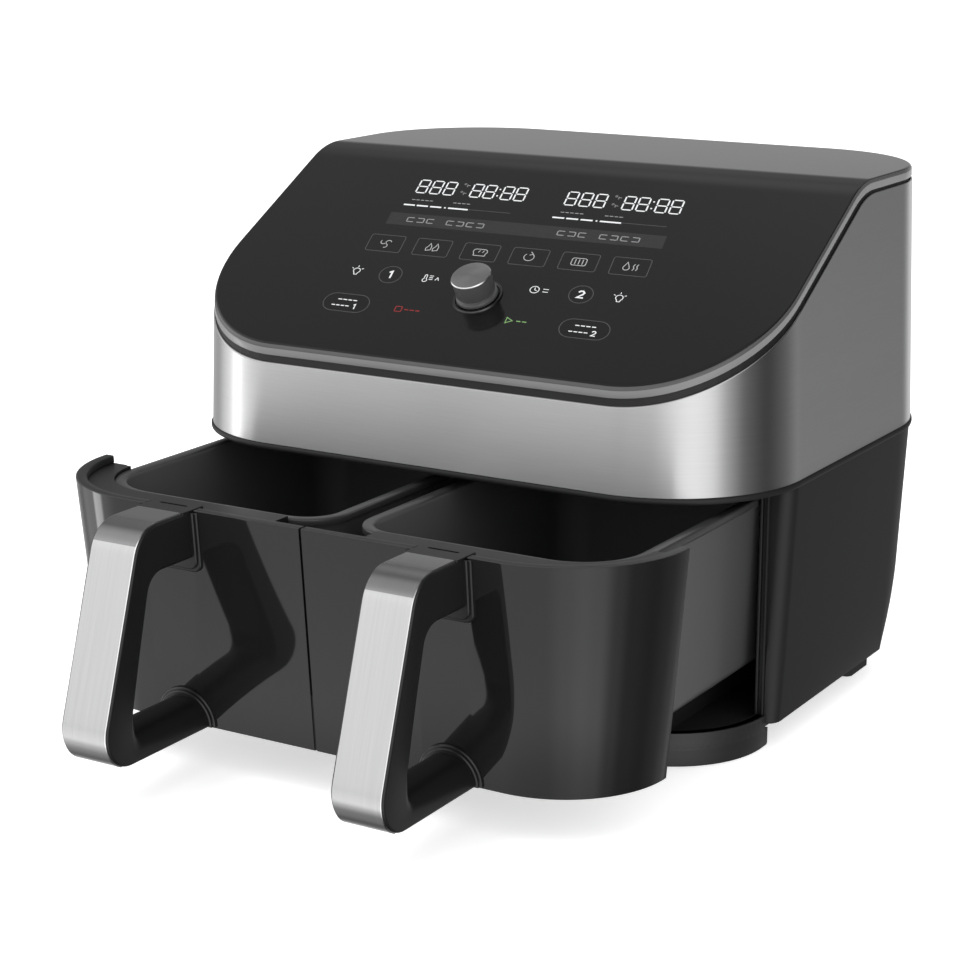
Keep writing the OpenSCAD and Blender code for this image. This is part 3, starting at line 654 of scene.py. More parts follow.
class Mesh:
    """Collects faces, welds them and becomes one finished object."""

    def __init__(self) -> None:
        """Starts empty."""
        self.bm = bmesh.new()

    def grid(self, rows: Sequence[Sequence[Vector]], wrap_rows: bool = False, wrap_columns: bool = False,
             material: int | Callable[[int, int], int] = 0) -> list[Loop]:
        """Joins rows of points with four-sided faces.

        Args:
            rows: Rows of equally many points.
            wrap_rows: Whether the last row joins the first.
            wrap_columns: Whether each row is a closed loop.
            material: Material index, or a function of row and column that gives it.

        Returns:
            The vertices, row by row.
        """
        verts = [[self.bm.verts.new(p) for p in row] for row in rows]
        count, width = len(verts), len(verts[0])
        for r in range(count if wrap_rows else count - 1):
            for c in range(width if wrap_columns else width - 1):
                a, b = verts[r], verts[(r + 1) % count]
                d = (c + 1) % width
                made = self.bm.faces.new((a[c], a[d], b[d], b[c]))
                made.material_index = material(r, c) if callable(material) else material
        return verts

    def cap(self, loop: Loop, material: int = 0) -> None:
        """Closes a flat loop of vertices with one face."""
        self.bm.faces.new(loop).material_index = material

    def close(self, rows: Sequence[Loop], first: int = 0, last: int = 0) -> None:
        """Caps both ends of a tube of vertices, each with a material index."""
        self.cap(rows[0][::-1], first)
        self.cap(rows[-1], last)

    def ladder(self, loop: Loop) -> None:
        """Closes a loop that mirrors itself, with rungs between opposite vertices.

        Args:
            loop: Vertices in order, the first half mirroring the second.
        """
        n = len(loop)
        for i in range(n // 2 - 1):
            self.cap((loop[i], loop[i + 1], loop[n - 2 - i], loop[n - 1 - i]))

    def prism(self, outline: Sequence[Plan], low: float, high: float, edge: float = 0.0,
              place: Callable[[float, float, float], Vector] = lambda x, y, z: Vector((x, y, z)),
              material: int = 0) -> None:
        """Adds a flat outline with thickness, its upper rim chamfered.

        Args:
            outline: Corners, counter-clockwise.
            low: Lower end.
            high: Upper end.
            edge: Width of the chamfer round the upper end.
            place: Turns outline x, outline y and height into a point.
            material: Material index.
        """
        rows = [[place(x, y, low) for x, y in outline]]
        if edge > 0:
            rows.append([place(x, y, high - edge) for x, y in outline])
            rows.append([place(x, y, high) for x, y in shrink(outline, edge)])
        else:
            rows.append([place(x, y, high) for x, y in outline])
        verts = self.grid(rows, wrap_columns=True, material=material)
        self.close(verts, material, material)

    def build(self, name: str, body: str, finishes: Sequence[str], replaces: Sequence[str] = (),
              slot: str | None = None, sharp: float = 35.0, weld: float = 1e-6) -> Piece:
        """Makes the object.

        Args:
            name: Name of the piece.
            body: Body it rides on.
            finishes: Names of its materials, in the order of the material indices.
            replaces: CAD nodes it stands for.
            slot: The record's material slot; not used.
            sharp: Edges that turn more than this many degrees are drawn sharp.
            weld: Distance within which vertices are joined.

        Returns:
            The new object.
        """
        bmesh.ops.remove_doubles(self.bm, verts=self.bm.verts, dist=weld)
        bmesh.ops.recalc_face_normals(self.bm, faces=self.bm.faces)
        data = bpy.data.meshes.new(name)
        self.bm.to_mesh(data)
        self.bm.free()
        for finish in finishes:
            data.materials.append(MATERIALS[finish])
        data.shade_smooth()
        data.set_sharp_from_angle(angle=math.radians(sharp))
        piece = bpy.data.objects.new(name, data)
        bpy.context.scene.collection.objects.link(piece)
        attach(piece, body)
        if replaces:
            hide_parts(*replaces)
        slot or finishes[0]
        LOG.info("%s: %d faces on %s", name, len(data.polygons), body)
        return piece


def shrink(outline: Sequence[Plan], distance: float) -> list[Plan]:
    """An outline moved inwards, its corners mitred; the outline is counter-clockwise.

    Args:
        outline: Points in order.
        distance: Distance moved inwards.

    Returns:
        The new outline's points.
    """
    moved = []
    n = len(outline)
    for i, (x, y) in enumerate(outline):
        px, py = outline[i - 1]
        qx, qy = outline[(i + 1) % n]
        before = Vector((x - px, y - py)).normalized()
        after = Vector((qx - x, qy - y)).normalized()
        normal = Vector((-before.y - after.y, before.x + after.x))
        if normal.length < 1e-9:
            moved.append((x, y))
            continue
        normal.normalize()
        cosine = max(0.3, normal.dot(Vector((-before.y, before.x))))
        moved.append((x + normal.x * distance / cosine, y + normal.y * distance / cosine))
    return moved


def rounded_box(width: float, height: float, radius: float, steps: int = 6,
                x: float = 0.0, y: float = 0.0) -> list[Plan]:
    """Outline of a rectangle with round corners about a centre, counter-clockwise.

    Args:
        width: Size along the first axis.
        height: Size along the second axis.
        radius: Radius of the corners.
        steps: Steps in each corner.
        x: Centre's first coordinate.
        y: Centre's second coordinate.

    Returns:
        The points.
    """
    w, h = width / 2 - radius, height / 2 - radius
    points: list[Plan] = []
    for cx, cy, start in ((w, -h, -90), (w, h, 0), (-w, h, 90), (-w, -h, 180)):
        points += arc((x + cx, y + cy), radius, start, start + 90, steps)
    return points


def cut_away(piece: Piece, low: Vector, high: Vector) -> None:
    """Cuts a box out of a piece.

    Args:
        piece: Piece that loses the box.
        low: Lowest corner of the box.
        high: Highest corner of the box.
    """
    cutter_mesh = bpy.data.meshes.new("cutter")
    bm = bmesh.new()
    bmesh.ops.create_cube(bm, size=1.0)
    bmesh.ops.scale(bm, vec=high - low, verts=bm.verts)
    bmesh.ops.translate(bm, vec=(low + high) / 2, verts=bm.verts)
    bm.to_mesh(cutter_mesh)
    bm.free()
    cutter = bpy.data.objects.new("cutter", cutter_mesh)
    bpy.context.scene.collection.objects.link(cutter)
    modifier = piece.modifiers.new("cut", "BOOLEAN")
    modifier.operation = "DIFFERENCE"
    modifier.solver = "EXACT"
    modifier.object = cutter
    bpy.context.view_layer.update()
    evaluated = piece.evaluated_get(bpy.context.evaluated_depsgraph_get())
    made = bpy.data.meshes.new_from_object(evaluated)
    piece.modifiers.clear()
    piece.data = made
    bpy.data.objects.remove(cutter)


# ---------------------------------------------------------------------------
# Housing
# ---------------------------------------------------------------------------


@dataclass(frozen=True)
class SlopeLine:
    """Side view of the roof: it climbs from the front, bends and runs level."""

    front_y: float
    front_z: float
    top_z: float
    angle: float
    radius: float

    def height(self, y: float) -> float:
        """Height of the line at a depth.

        Args:
            y: The depth.

        Returns:
            The height.
        """
        slope = math.tan(self.angle)
        end_y = self.front_y + (self.top_z - self.front_z) / slope + self.radius * math.tan(self.angle / 2)
        start_y = end_y - self.radius * math.sin(self.angle)
        if y <= start_y:
            return self.front_z + (y - self.front_y) * slope
        if y >= end_y:
            return self.top_z
        return self.top_z - self.radius + math.sqrt(self.radius ** 2 - (y - end_y) ** 2)

    def lowered(self, drop: float) -> "SlopeLine":
        """The same line, lower."""
        return SlopeLine(self.front_y, self.front_z - drop, self.top_z - drop, self.angle, self.radius)


JAMB_BEADS = (
    (0.0, -0.0006), (0.0004, -0.001), (0.0011, -0.001), (0.0015, -0.0006), (0.0017, 0.0012), (0.0036, 0.0012),
    (0.0038, -0.0005), (0.0042, -0.0009), (0.0048, -0.0009), (0.0052, -0.0005), (0.0054, 0.0006))


@dataclass
class Housing:
    """Upper and lower housing with their trim, band, cover and base."""

    front_r: float = 0.0814
    rear_r: float = 0.0872
    draft: float = 0.0361
    panel_angle: float = math.radians(29.5)
    panel_z: float = 0.2163
    rim_h: float = 0.0063
    reveal: float = 0.0043
    bend_r: float = 0.055
    band_t: float = 0.001
    wall_t: float = 0.003
    lower_inset: float = 0.0004
    lower_draft: float = 0.0473
    back_inset: float = 0.0015
    tail_r: float = 0.052
    tail_h: float = 0.055
    corner_pull: float = 0.007
    jamb_r: float = 0.0085
    jamb_depth: float = 0.074
    opening_w: float = 0.1723
    corner_steps: int = 28

    def __post_init__(self) -> None:
        """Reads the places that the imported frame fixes."""
        low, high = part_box("steel_band")
        self.half_w = high.x
        self.front_y, self.back_y = low.y, high.y
        self.band_z = low.z
        self.roof_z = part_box("top_cover")[1].z
        trim_low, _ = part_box("band_trim")
        self.trim_z = trim_low.z
        self.trim_lip = self.front_y - trim_low.y
        self.floor_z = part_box("lower_housing")[0].z
        self.jamb_y = self.front_y + self.jamb_depth
        self.panel = SlopeLine(self.front_y, self.panel_z, self.roof_z, self.panel_angle, self.bend_r)

    def right_half(self, side_steps: int) -> list[Station]:
        """Stations of the plan's right half, from the front to the back.

        Args:
            side_steps: Steps along the straight side.

        Returns:
            The stations.
        """
        front_centre = (self.half_w - self.front_r, self.front_y + self.front_r)
        rear_centre = (self.half_w - self.rear_r, self.back_y - self.rear_r)
        front = bend(front_centre, self.front_r, -90, 0, self.corner_steps)
        rear = bend(rear_centre, self.rear_r, 0, 90, self.corner_steps)
        return front + between(front[-1], rear[0], side_steps) + rear

    def outline(self, side_steps: int = 1) -> list[Station]:
        """Stations of the whole plan, each opposite its mirror image."""
        right = self.right_half(side_steps)
        return right + [s.mirrored() for s in reversed(right)]

    def ring(self, stations: Sequence[Station], inset: float,
             height: Callable[[float], float]) -> list[Vector]:
        """Points of the leaning wall at an inset.

        Args:
            stations: Stations of the plan.
            inset: Distance inside the outer face.
            height: Height at a depth.

        Returns:
            One point per station.
        """
        points = []
        for station in stations:
            z = height(station.y)
            for _ in range(4):
                x, y = station.inset(inset + self.draft * (z - self.band_z))
                z = height(y)
            points.append(Vector((x, y, z)))
        return points

    def build_cover(self) -> None:
        """Glossy cover: sloped panel, roof and the rim round both."""
        stations = self.outline(96)
        fillet, steps = 0.0022, 7
        gap, rim, wall = 0.0003, self.rim_h, self.wall_t
        profile = [(gap + wall, 0.0045), (gap + wall, rim - 0.0003), (wall, rim), (0.0007, rim),
                   (0.0004, rim - 0.0001), (gap, rim - 0.0004)]
        for i in range(steps + 1):
            a = math.radians(90 * i / steps)
            profile.append((gap + fillet * (1 - math.cos(a)), fillet * (1 - math.sin(a))))
        profile.append((gap + fillet + 0.0004, 0.0))
        rings = [self.ring(stations, inset, self.panel.lowered(drop).height) for inset, drop in profile]
        mesh = Mesh()
        # The rim face and underside take the lightest copy and the lower fillet a lighter one: painted
        # reflection along the rim.
        verts = mesh.grid(rings, wrap_columns=True,
                          material=lambda row, _column: 2 if row < 6 else (1 if row < 10 else 0))
        mesh.ladder(verts[-1])
        mesh.ladder(verts[0][::-1])
        mesh.build("top_cover_shell", "housing", ["gloss_cover", "cover_fillet_painted_reflection", "cover_rim_painted_reflection"],
                   ["top_cover"], sharp=50)

    def build_band(self) -> None:
        """Stainless band with a polished upper edge and a window for the rear grille."""
        stations = self.outline(96)
        drop = self.rim_h + self.reveal
        top = SlopeLine(self.front_y, self.panel_z - drop, self.roof_z - drop + 0.0024, self.panel_angle,
                        self.bend_r - self.rim_h)
        level = lambda z: (lambda _y: z)
        edge = 0.0002
        rings = [self.ring(stations, self.band_t, level(self.band_z)),
                 self.ring(stations, edge, level(self.band_z)),
                 self.ring(stations, 0, level(self.band_z + edge)),
                 self.ring(stations, 0, top.lowered(0.0006).height),
                 self.ring(stations, 0, top.lowered(edge).height),
                 self.ring(stations, edge, top.height),
                 self.ring(stations, self.band_t - edge, top.height),
                 self.ring(stations, self.band_t, top.lowered(edge).height)]
        mesh = Mesh()
        mesh.grid(rings, wrap_rows=True, wrap_columns=True, material=lambda r, c: 1 if 3 <= r <= 6 else 0)
        band = mesh.build("steel_band_sheet", "housing", ["band_steel", "band_edge_steel"],
                          ["steel_band"], sharp=40)
        grille_low, grille_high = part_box("rear_grille")
        rim = 0.004
        cut_away(band, Vector((grille_low.x + rim, grille_low.y - 0.02, grille_low.z + rim)),
                 Vector((grille_high.x - rim, grille_high.y + 0.02, grille_high.z - rim)))

    def build_trim(self) -> None:
        """Trim ledge under the band, with a rounded lip."""
        stations = self.outline(40)
        low, high, lip = self.trim_z, self.band_z, self.trim_lip
        depth = 0.006
        profile = [(depth, low), (0.0011 - lip, low), (0.0004 - lip, low + 0.0003),
                   (0.0001 - lip, low + 0.0009), (-lip, low + 0.0016), (0.0001 - lip, high - 0.0008),
                   (0.0005 - lip, high - 0.0002),
                   (0.0, high), (depth, high)]
        rings = [[Vector((*s.inset(inset), z)) for s in stations] for inset, z in profile]
        mesh = Mesh()
        mesh.grid(rings, wrap_rows=True, wrap_columns=True)
        mesh.build("band_trim_lip", "housing", ["housing_plastic"], ["band_trim"])

    def back_line(self, z: float) -> float:
        """Depth of the leaning back of the lower housing at a height."""
        return self.back_y - self.back_inset - self.lower_draft * (self.trim_z - z)

    def tail_y(self, z: float) -> float:
        """Depth of the rounded back of the lower housing at a height.

        Args:
            z: The height.

        Returns:
            The depth.
        """
        straight = self.back_line(z)
        centre_y = self.back_line(self.floor_z + self.tail_h) - self.tail_r
        rise = self.floor_z + self.tail_h - z
        if rise <= 0:
            return straight
        return min(straight, centre_y + self.tail_r * math.sqrt(max(0.0, 1.0 - (rise / self.tail_h) ** 2)))

    def lower_plan(self, z: float, extra: float) -> tuple[list[Plan], list[Plan]]:
        """Outer and inner line of the lower housing at a height.

        Args:
            z: Height.
            extra: Further inset of the outer line.

        Returns:
            Outer points and as many inner points, from the right jamb round the back to the left.
        """
        side_x = self.half_w - self.lower_inset - self.lower_draft * (self.trim_z - z)
        centre = (self.half_w - self.rear_r, self.back_y - self.rear_r)
        reach_x, reach_y = side_x - centre[0], self.tail_y(z) - centre[1]
        pull = self.corner_pull * (self.back_line(z) - self.tail_y(z)) / self.tail_r
        jamb, w = self.jamb_y, self.opening_w
        back = jamb + 0.004
        bead = [(w, back)] + [(w + across, jamb + proud) for across, proud in JAMB_BEADS]
        corner_r = min(self.jamb_r, side_x - extra - w - 0.0058)
        shoulder = arc((side_x - extra - corner_r, jamb + corner_r), corner_r, -90, 0, 10)
        outer = bead + shoulder
        inner = [(max(x, w + 0.0002) + 0.0001, back) for x, _ in bead]
        inner += [(side_x - self.wall_t, back) for _ in shoulder]
        for i in range(self.corner_steps + 1):
            a = math.radians(90 * i / self.corner_steps)
            c, s = math.cos(a), math.sin(a)
            middle = centre[0] - 2 * pull * c * s
            outer.append((middle + (reach_x - extra) * c, centre[1] + (reach_y - extra) * s))
            inner.append((middle + (reach_x - self.wall_t) * c, centre[1] + (reach_y - self.wall_t) * s))
        outer += [(-x, y) for x, y in reversed(outer)]
        inner += [(-x, y) for x, y in reversed(inner)]
        return outer, inner

    def build_lower(self) -> None:
        """Lower housing: sides, rounded back and the beaded jambs beside the drawers."""
        arc_steps = 14
        levels = [(self.trim_z, 0.0), (0.120, 0.0), (0.090, 0.0)]
        for i in range(arc_steps):
            rise = 1 - math.sin(math.radians(90 * i / arc_steps))
            levels.append((self.floor_z + self.tail_h * rise, 0.0))
        levels += [(self.floor_z + 0.0003, 0.0004), (self.floor_z, 0.0012)]
        rows = []
        for z, extra in levels:
            outer, inner = self.lower_plan(z, extra)
            rows.append([Vector((x, y, z)) for x, y in outer + inner[::-1]])
        mesh = Mesh()
        verts = mesh.grid(rows, wrap_columns=True)
        for row in (verts[0], verts[-1]):
            mesh.ladder(row)
        mesh.build("lower_housing_shell", "housing", ["housing_plastic"], ["lower_housing"], weld=1e-7)

    def base_stations(self, half: float, front: float, radius: float, back: float) -> list[Station]:
        """Open outline of the base's front, from its right end round to its left end.

        Args:
            half: Half of the width.
            front: Distance of its front behind the front of the housing.
            radius: Radius of its front corners.
            back: Distance behind the front of the housing where its sides end.

        Returns:
            The stations.
        """
        centre = (half - radius, self.front_y + front + radius)
        corner = bend(centre, radius, 0, -90, self.corner_steps)
        start = Station(half, self.front_y + back, 1.0, 0.0)
        right = [start] + corner
        return right + [s.mirrored() for s in reversed(right)]

    def build_base(self) -> None:
        """Front foot and the lip of the base above it, each a rounded strip."""
        low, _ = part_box("front_foot")
        foot_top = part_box("front_foot")[1].z
        lip_top = foot_top + 0.010
        foot = self.base_stations(half=0.177, front=0.015, radius=0.060, back=0.082)
        profile = [(0.008, low.z), (0.0015, low.z), (0.0004, low.z + 0.0004), (0.0, low.z + 0.0015),
                   (0.0, foot_top), (0.008, foot_top)]
        self.strip("front_foot_strip", foot, profile, "foot_plastic", ["front_foot"])
        lip = self.base_stations(half=0.179, front=0.012, radius=0.062, back=0.0735)
        profile = [(0.006, foot_top), (0.0009, foot_top), (0.0002, foot_top + 0.0003),
                   (0.0, foot_top + 0.001), (0.0, lip_top - 0.0012), (0.0004, lip_top - 0.0004),
                   (0.0012, lip_top), (0.006, lip_top)]
        self.strip("base_lip", lip, profile, "base_plastic", [])

    def strip(self, name: str, stations: Sequence[Station], profile: Profile, finish: str,
              replaces: Sequence[str]) -> Piece:
        """Runs a closed profile of inset and height along an open outline.

        Args:
            name: Name of the piece.
            stations: The outline.
            profile: Closed profile, as inset and height.
            finish: Name of its material.
            replaces: CAD nodes it stands for.

        Returns:
            The piece.
        """
        rows = [[Vector((*s.inset(inset), z)) for inset, z in profile] for s in stations]
        mesh = Mesh()
        verts = mesh.grid(rows, wrap_columns=True)
        mesh.close(verts)
        return mesh.build(name, "housing", [finish], replaces)

    def build(self) -> None:
        """Builds every piece of the housing."""
        self.build_cover()
        self.build_band()
        self.build_trim()
        self.build_lower()
        self.build_base()


# ---------------------------------------------------------------------------
# Knob and control panel
# ---------------------------------------------------------------------------


@dataclass
class ControlPanel:
    """Printed and lit markings on the sloped panel, and the knob that stands on it."""

    housing: Housing
    knob_depth: float = 0.055
    knob_r: float = 0.012
    knob_h: float = 0.016
    knob_steps: int = 96
    ink_t: float = 0.00005
    ink_root: float = -0.0001
    patch_t: float = 0.00002

    def place(self, x: float, y: float, lift: float) -> Vector:
        """Turns a place on the panel into a point.

        Args:
            x: Across the panel from its middle.
            y: Up the slope from the panel's front edge.
            lift: Height above the panel.

        Returns:
            The point in the frame.
        """
        c, s = math.cos(self.housing.panel_angle), math.sin(self.housing.panel_angle)
        return Vector((x, self.housing.front_y + y * c - lift * s, self.housing.panel_z + y * s + lift * c))

    def lathe(self, name: str, body: str, profile: Profile, finishes: Sequence[str], replaced: str,
              bright_row: int | None = None, closed: bool = False) -> None:
        """Turns a profile about the knob's axis into one piece.

        Args:
            name: Name of the piece.
            body: Body it rides on.
            profile: Radius and height above the panel, point by point.
            finishes: Names of its materials.
            replaced: CAD node it stands for.
            bright_row: Row of faces in the second finish.
            closed: Whether the profile is a closed loop, and the piece a ring.
        """
        y = self.knob_depth / math.cos(self.housing.panel_angle)
        turn = [2 * math.pi * i / self.knob_steps for i in range(self.knob_steps)]
        rows = [[self.place(radius * math.cos(a), y + radius * math.sin(a), lift) for a in turn]
                for radius, lift in profile]
        mesh = Mesh()
        verts = mesh.grid(rows, wrap_rows=closed, wrap_columns=True,
                          material=lambda row, _: 1 if row == bright_row else 0)
        if not closed:
            mesh.close(verts)
        mesh.build(name, body, finishes, [replaced])

    def build_knob(self) -> None:
        """Knob with a skirt, a spun cap whose polished bevel carries a painted highlight, and the ring at its
        foot.
        """
        r, h = self.knob_r, self.knob_h
        body = [(r - 0.0004, 0.0006), (r + 0.0002, 0.0007), (r + 0.0004, 0.0011), (r + 0.0004, 0.0026),
                (r + 0.0001, 0.0031), (r - 0.0009, 0.0035), (r - 0.0011, 0.0039), (r - 0.0008, 0.0044),
                (r - 0.0004, 0.0052), (r - 0.0003, h - 0.0014), (r - 0.0006, h - 0.0011),
                (r - 0.002, h - 0.0010)]
        self.lathe("knob_grip", "knob", body, ["knob_plastic"], "knob_body")
        cap = [(r - 0.0022, h - 0.0010), (r - 0.0002, h - 0.0010), (r, h - 0.0008), (r, h - 0.0005),
               (r - 0.0005, h), (r - 0.0007, h - 0.00005), (r - 0.003, h - 0.00012)]
        # The cap's bevel row takes the brighter polished steel as a painted highlight.
        self.lathe("knob_face", "knob", cap, ["knob_alloy", "polished_edge_steel_painted_highlight"], "knob_cap", bright_row=3)
        ring = [(r + 0.0010, -0.0004), (r + 0.0010, 0.0006), (r + 0.0014, 0.0010), (r + 0.0022, 0.0012),
                (r + 0.0028, 0.0010), (r + 0.0031, 0.0005), (r + 0.0032, -0.0004)]
        self.lathe("knob_foot_ring", "housing", ring, ["knob_ring_chrome"], "knob_ring", closed=True)


@dataclass(frozen=True)
class Spot:
    """A leaning place on the panel that a mark is drawn about, in millimetres."""

    x: float
    y: float
    lean: float = 0.17

    def put(self, x: float, y: float) -> Plan:
        """Turns a place in the mark into a place on the panel."""
        return self.x + x - self.lean * y, self.y + y


@dataclass
class Markings:
    """Everything printed on the panel or lit behind it, as thin raised shapes."""

    panel: ControlPanel
    sheets: dict[str, Mesh] = field(default_factory=dict)
    digit_h: float = 12.6
    digit_w: float = 6.9
    digit_lean: float = 0.15
    bar: float = 0.95
    line: float = 0.55
    fine: float = 0.32
    row_digits: float = 159.9
    row_names: float = 146.4
    row_bars: float = 141.0
    row_band: float = 127.0
    row_keys: float = 102.8
    row_icons: float = 74.8
    row_foot: float = 46.0

    def sheet(self, ink: str) -> Mesh:
        """The mesh that collects marks of one ink."""
        return self.sheets.setdefault(ink, Mesh())

    def point(self, spot: Spot, place: Plan, lift: float) -> Vector:
        """A place in a mark, as a point in the frame."""
        x, y = spot.put(*place)
        return self.panel.place(x / 1000, y / 1000, lift)

    def draw(self, ink: str, spot: Spot, points: Sequence[Plan], width: float, closed: bool = False) -> None:
        """Draws a line of even width.

        Args:
            ink: Name of the ink.
            spot: Where the mark stands.
            points: The line's points, in millimetres about the spot.
            width: Its width.
            closed: Whether it returns to its start.
        """
        rows = []
        n = len(points)
        for i, (x, y) in enumerate(points):
            before = points[i - 1] if closed or i > 0 else (x, y)
            after = points[(i + 1) % n] if closed or i < n - 1 else (x, y)
            if not closed and i == 0:
                before = (2 * x - after[0], 2 * y - after[1])
            if not closed and i == n - 1:
                after = (2 * x - before[0], 2 * y - before[1])
            a = Vector((x - before[0], y - before[1])).normalized()
            b = Vector((after[0] - x, after[1] - y)).normalized()
            normal = Vector((-a.y - b.y, a.x + b.x)).normalized()
            half = width / 2 / max(0.5, normal.dot(Vector((-a.y, a.x))))
            near = (x + normal.x * half, y + normal.y * half)
            far = (x - normal.x * half, y - normal.y * half)
            root, top = self.panel.ink_root, self.panel.ink_t
            rows.append([self.point(spot, near, root), self.point(spot, near, top),
                         self.point(spot, far, top), self.point(spot, far, root)])
        mesh = self.sheet(ink)
        verts = mesh.grid(rows, wrap_rows=closed, wrap_columns=True)
        if not closed:
            mesh.close(verts)

    def fill(self, ink: str, spot: Spot, outline: Sequence[Plan], lift: float | None = None) -> None:
        """Fills an outline given counter-clockwise in millimetres about the spot.

        Args:
            ink: Name of the ink.
            spot: Spot that it is drawn about.
            outline: Points in order.
            lift: Height of the ink's top above the panel, where it isn't the usual one.
        """
        top = self.panel.ink_t if lift is None else lift
        self.sheet(ink).prism(outline, self.panel.ink_root, top,
                              place=lambda x, y, z: self.point(spot, (x, y), z))

    def dash(self, ink: str, spot: Spot, x: float, y: float, width: float, height: float) -> None:
        """Fills a small rectangle about a place."""
        w, h = width / 2, height / 2
        self.fill(ink, spot, [(x - w, y - h), (x + w, y - h), (x + w, y + h), (x - w, y + h)])

    def eight(self, x: float) -> None:
        """Draws an eight from seven lit segments.

        Args:
            x: Middle of the figure, in millimetres from the panel's middle.
        """
        spot = Spot(x, self.row_digits, self.digit_lean)
        w, h, gap, half = self.digit_w / 2, self.digit_h / 2, 0.32, self.bar / 2
        for y in (-h, 0.0, h):
            inner = w - gap
            self.fill("white_print", spot, [(-inner, y), (-inner + half, y - half), (inner - half, y - half),
                                            (inner, y), (inner - half, y + half), (-inner + half, y + half)])
        for side in (-1, 1):
            for low, high in ((-h + gap, -gap), (gap, h - gap)):
                c = side * w
                self.fill("white_print", spot, [(c, low), (c + half, low + half), (c + half, high - half),
                                                (c, high), (c - half, high - half), (c - half, low + half)])

    def draw_display(self, start: float) -> None:
        """Draws one basket's read-outs.

        Args:
            start: Left end of its progress bars.
        """
        first, pitch = start + 4.2, 9.7
        for i in range(3):
            self.eight(first + i * pitch)
        for i, offset in enumerate((0.0, 9.3, 21.6, 30.9)):
            self.eight(first + 38.4 + offset)
        colon = Spot(first + 53.8, self.row_digits, self.digit_lean)
        for y in (-3.2, 3.2):
            self.dash("white_print", colon, 0.0, y, 1.1, 1.1)
        units = Spot(first + 30.0, self.row_digits, self.digit_lean)
        for y in (4.4, -3.4):
            self.draw("dim_print", units, arc((-1.6, y + 1.2), 0.7, 0, 330, 10), 0.35, closed=True)
            self.dash("dim_print", units, 1.0, y, 2.4, 0.5)
            self.dash("dim_print", units, 0.3, y - 0.3, 0.5, 2.4)
        names = Spot(start, self.row_names)
        for x, count in ((4.4, 5), (34.0, 4)):
            for i in range(count):
                self.dash("dim_print", names, x + i * 3.2, 0.0, 2.4, 0.7)
        bars = Spot(start, self.row_bars)
        for x, width in ((4.2, 8.0), (13.6, 8.0), (23.2, 8.0), (39.0, 14.0)):
            self.dash("white_print", bars, x, 0.0, width, 1.25)
        self.dash("white_print", bars, 29.8, 0.0, 1.1, 1.1)
        self.dash("faint_print", bars, 61.0, 0.2, 29.0, 0.5)
        line = Spot(start + 12.6, self.row_band)
        for i in (0, 1, 2, 4, 5, 6, 7):
            x = i * 7.0
            self.dash("dim_print", line, x + 0.4, -1.9, 4.4, 0.7)
            self.dash("dim_print", line, x + 0.4, 1.9, 4.4, 0.7)
            self.dash("dim_print", line, x - 2.0 + 4.8 * (i % 2), 0.0, 0.7, 3.6)

    def draw_keys(self) -> None:
        """Draws the six outlined function keys, each with its picture."""
        pictures = (self.draw_fan, self.draw_flame, self.draw_loaf, self.draw_cycle, self.draw_grill,
                    self.draw_drop)
        for i, picture in enumerate(pictures):
            spot = Spot(-85.5 + 33.15 * i, self.row_keys)
            self.draw("faint_print", spot, rounded_box(24.2, 15.4, 1.6, 4), 0.55, closed=True)
            picture(spot)

    def draw_fan(self, spot: Spot) -> None:
        """Three curved blades.

        Args:
            spot: Spot that it is drawn about.
        """
        for turn in (0, 120, 240):
            c, s = math.cos(math.radians(turn)), math.sin(math.radians(turn))
            blade = arc((1.9, 1.0), 1.9, 200, 20, 8)
            self.draw("mid_print", spot, [(c * x - s * y, s * x + c * y) for x, y in blade], self.line)

    def draw_flame(self, spot: Spot) -> None:
        """Two flames side by side.

        Args:
            spot: Spot that it is drawn about.
        """
        for x in (-2.4, 2.4):
            flame = [(x - 1.5, -3.0), (x - 1.9, -0.9), (x - 0.4, 1.4), (x + 0.3, 3.8), (x + 1.7, 0.9),
                     (x + 1.6, -2.2)]
            self.draw("mid_print", spot, flame, self.line, closed=True)

    def draw_loaf(self, spot: Spot) -> None:
        """A loaf with two cuts.

        Args:
            spot: Spot that it is drawn about.
        """
        loaf = (arc((-2.6, 0.6), 2.2, 230, 90, 6) + arc((2.6, 0.6), 2.2, 90, -50, 6)
                + [(3.8, -3.2), (-3.8, -3.2)])
        self.draw("mid_print", spot, loaf, self.line, closed=True)
        for x in (-1.2, 1.6):
            self.draw("mid_print", spot, [(x, -0.2), (x + 0.9, 1.7)], self.line)

    def draw_cycle(self, spot: Spot) -> None:
        """An arrow that turns back on itself."""
        self.draw("mid_print", spot, arc((0.0, 0.0), 3.3, 60, -230, 18), self.line)
        self.draw("mid_print", spot, [(-0.2, 1.7), (2.0, 2.9), (0.2, 4.8)], self.line)

    def draw_grill(self, spot: Spot) -> None:
        """Bars in a frame.

        Args:
            spot: Spot that it is drawn about.
        """
        self.draw("mid_print", spot, rounded_box(9.6, 6.4, 1.4, 4), self.line, closed=True)
        for x in (-2.4, 0.0, 2.4):
            self.draw("mid_print", spot, [(x, -2.2), (x, 2.2)], self.line)

    def draw_drop(self, spot: Spot) -> None:
        """A drop beside rising lines.

        Args:
            spot: Spot that it is drawn about.
        """
        drop = arc((-2.4, -1.2), 2.0, 150, 390, 12) + [(-2.4, 3.8)]
        self.draw("mid_print", spot, drop, self.line, closed=True)
        for x in (1.8, 4.0):
            self.draw("mid_print", spot, [(x, -3.0), (x + 0.8, -1.2), (x, 0.6), (x + 0.8, 2.6)], self.line)

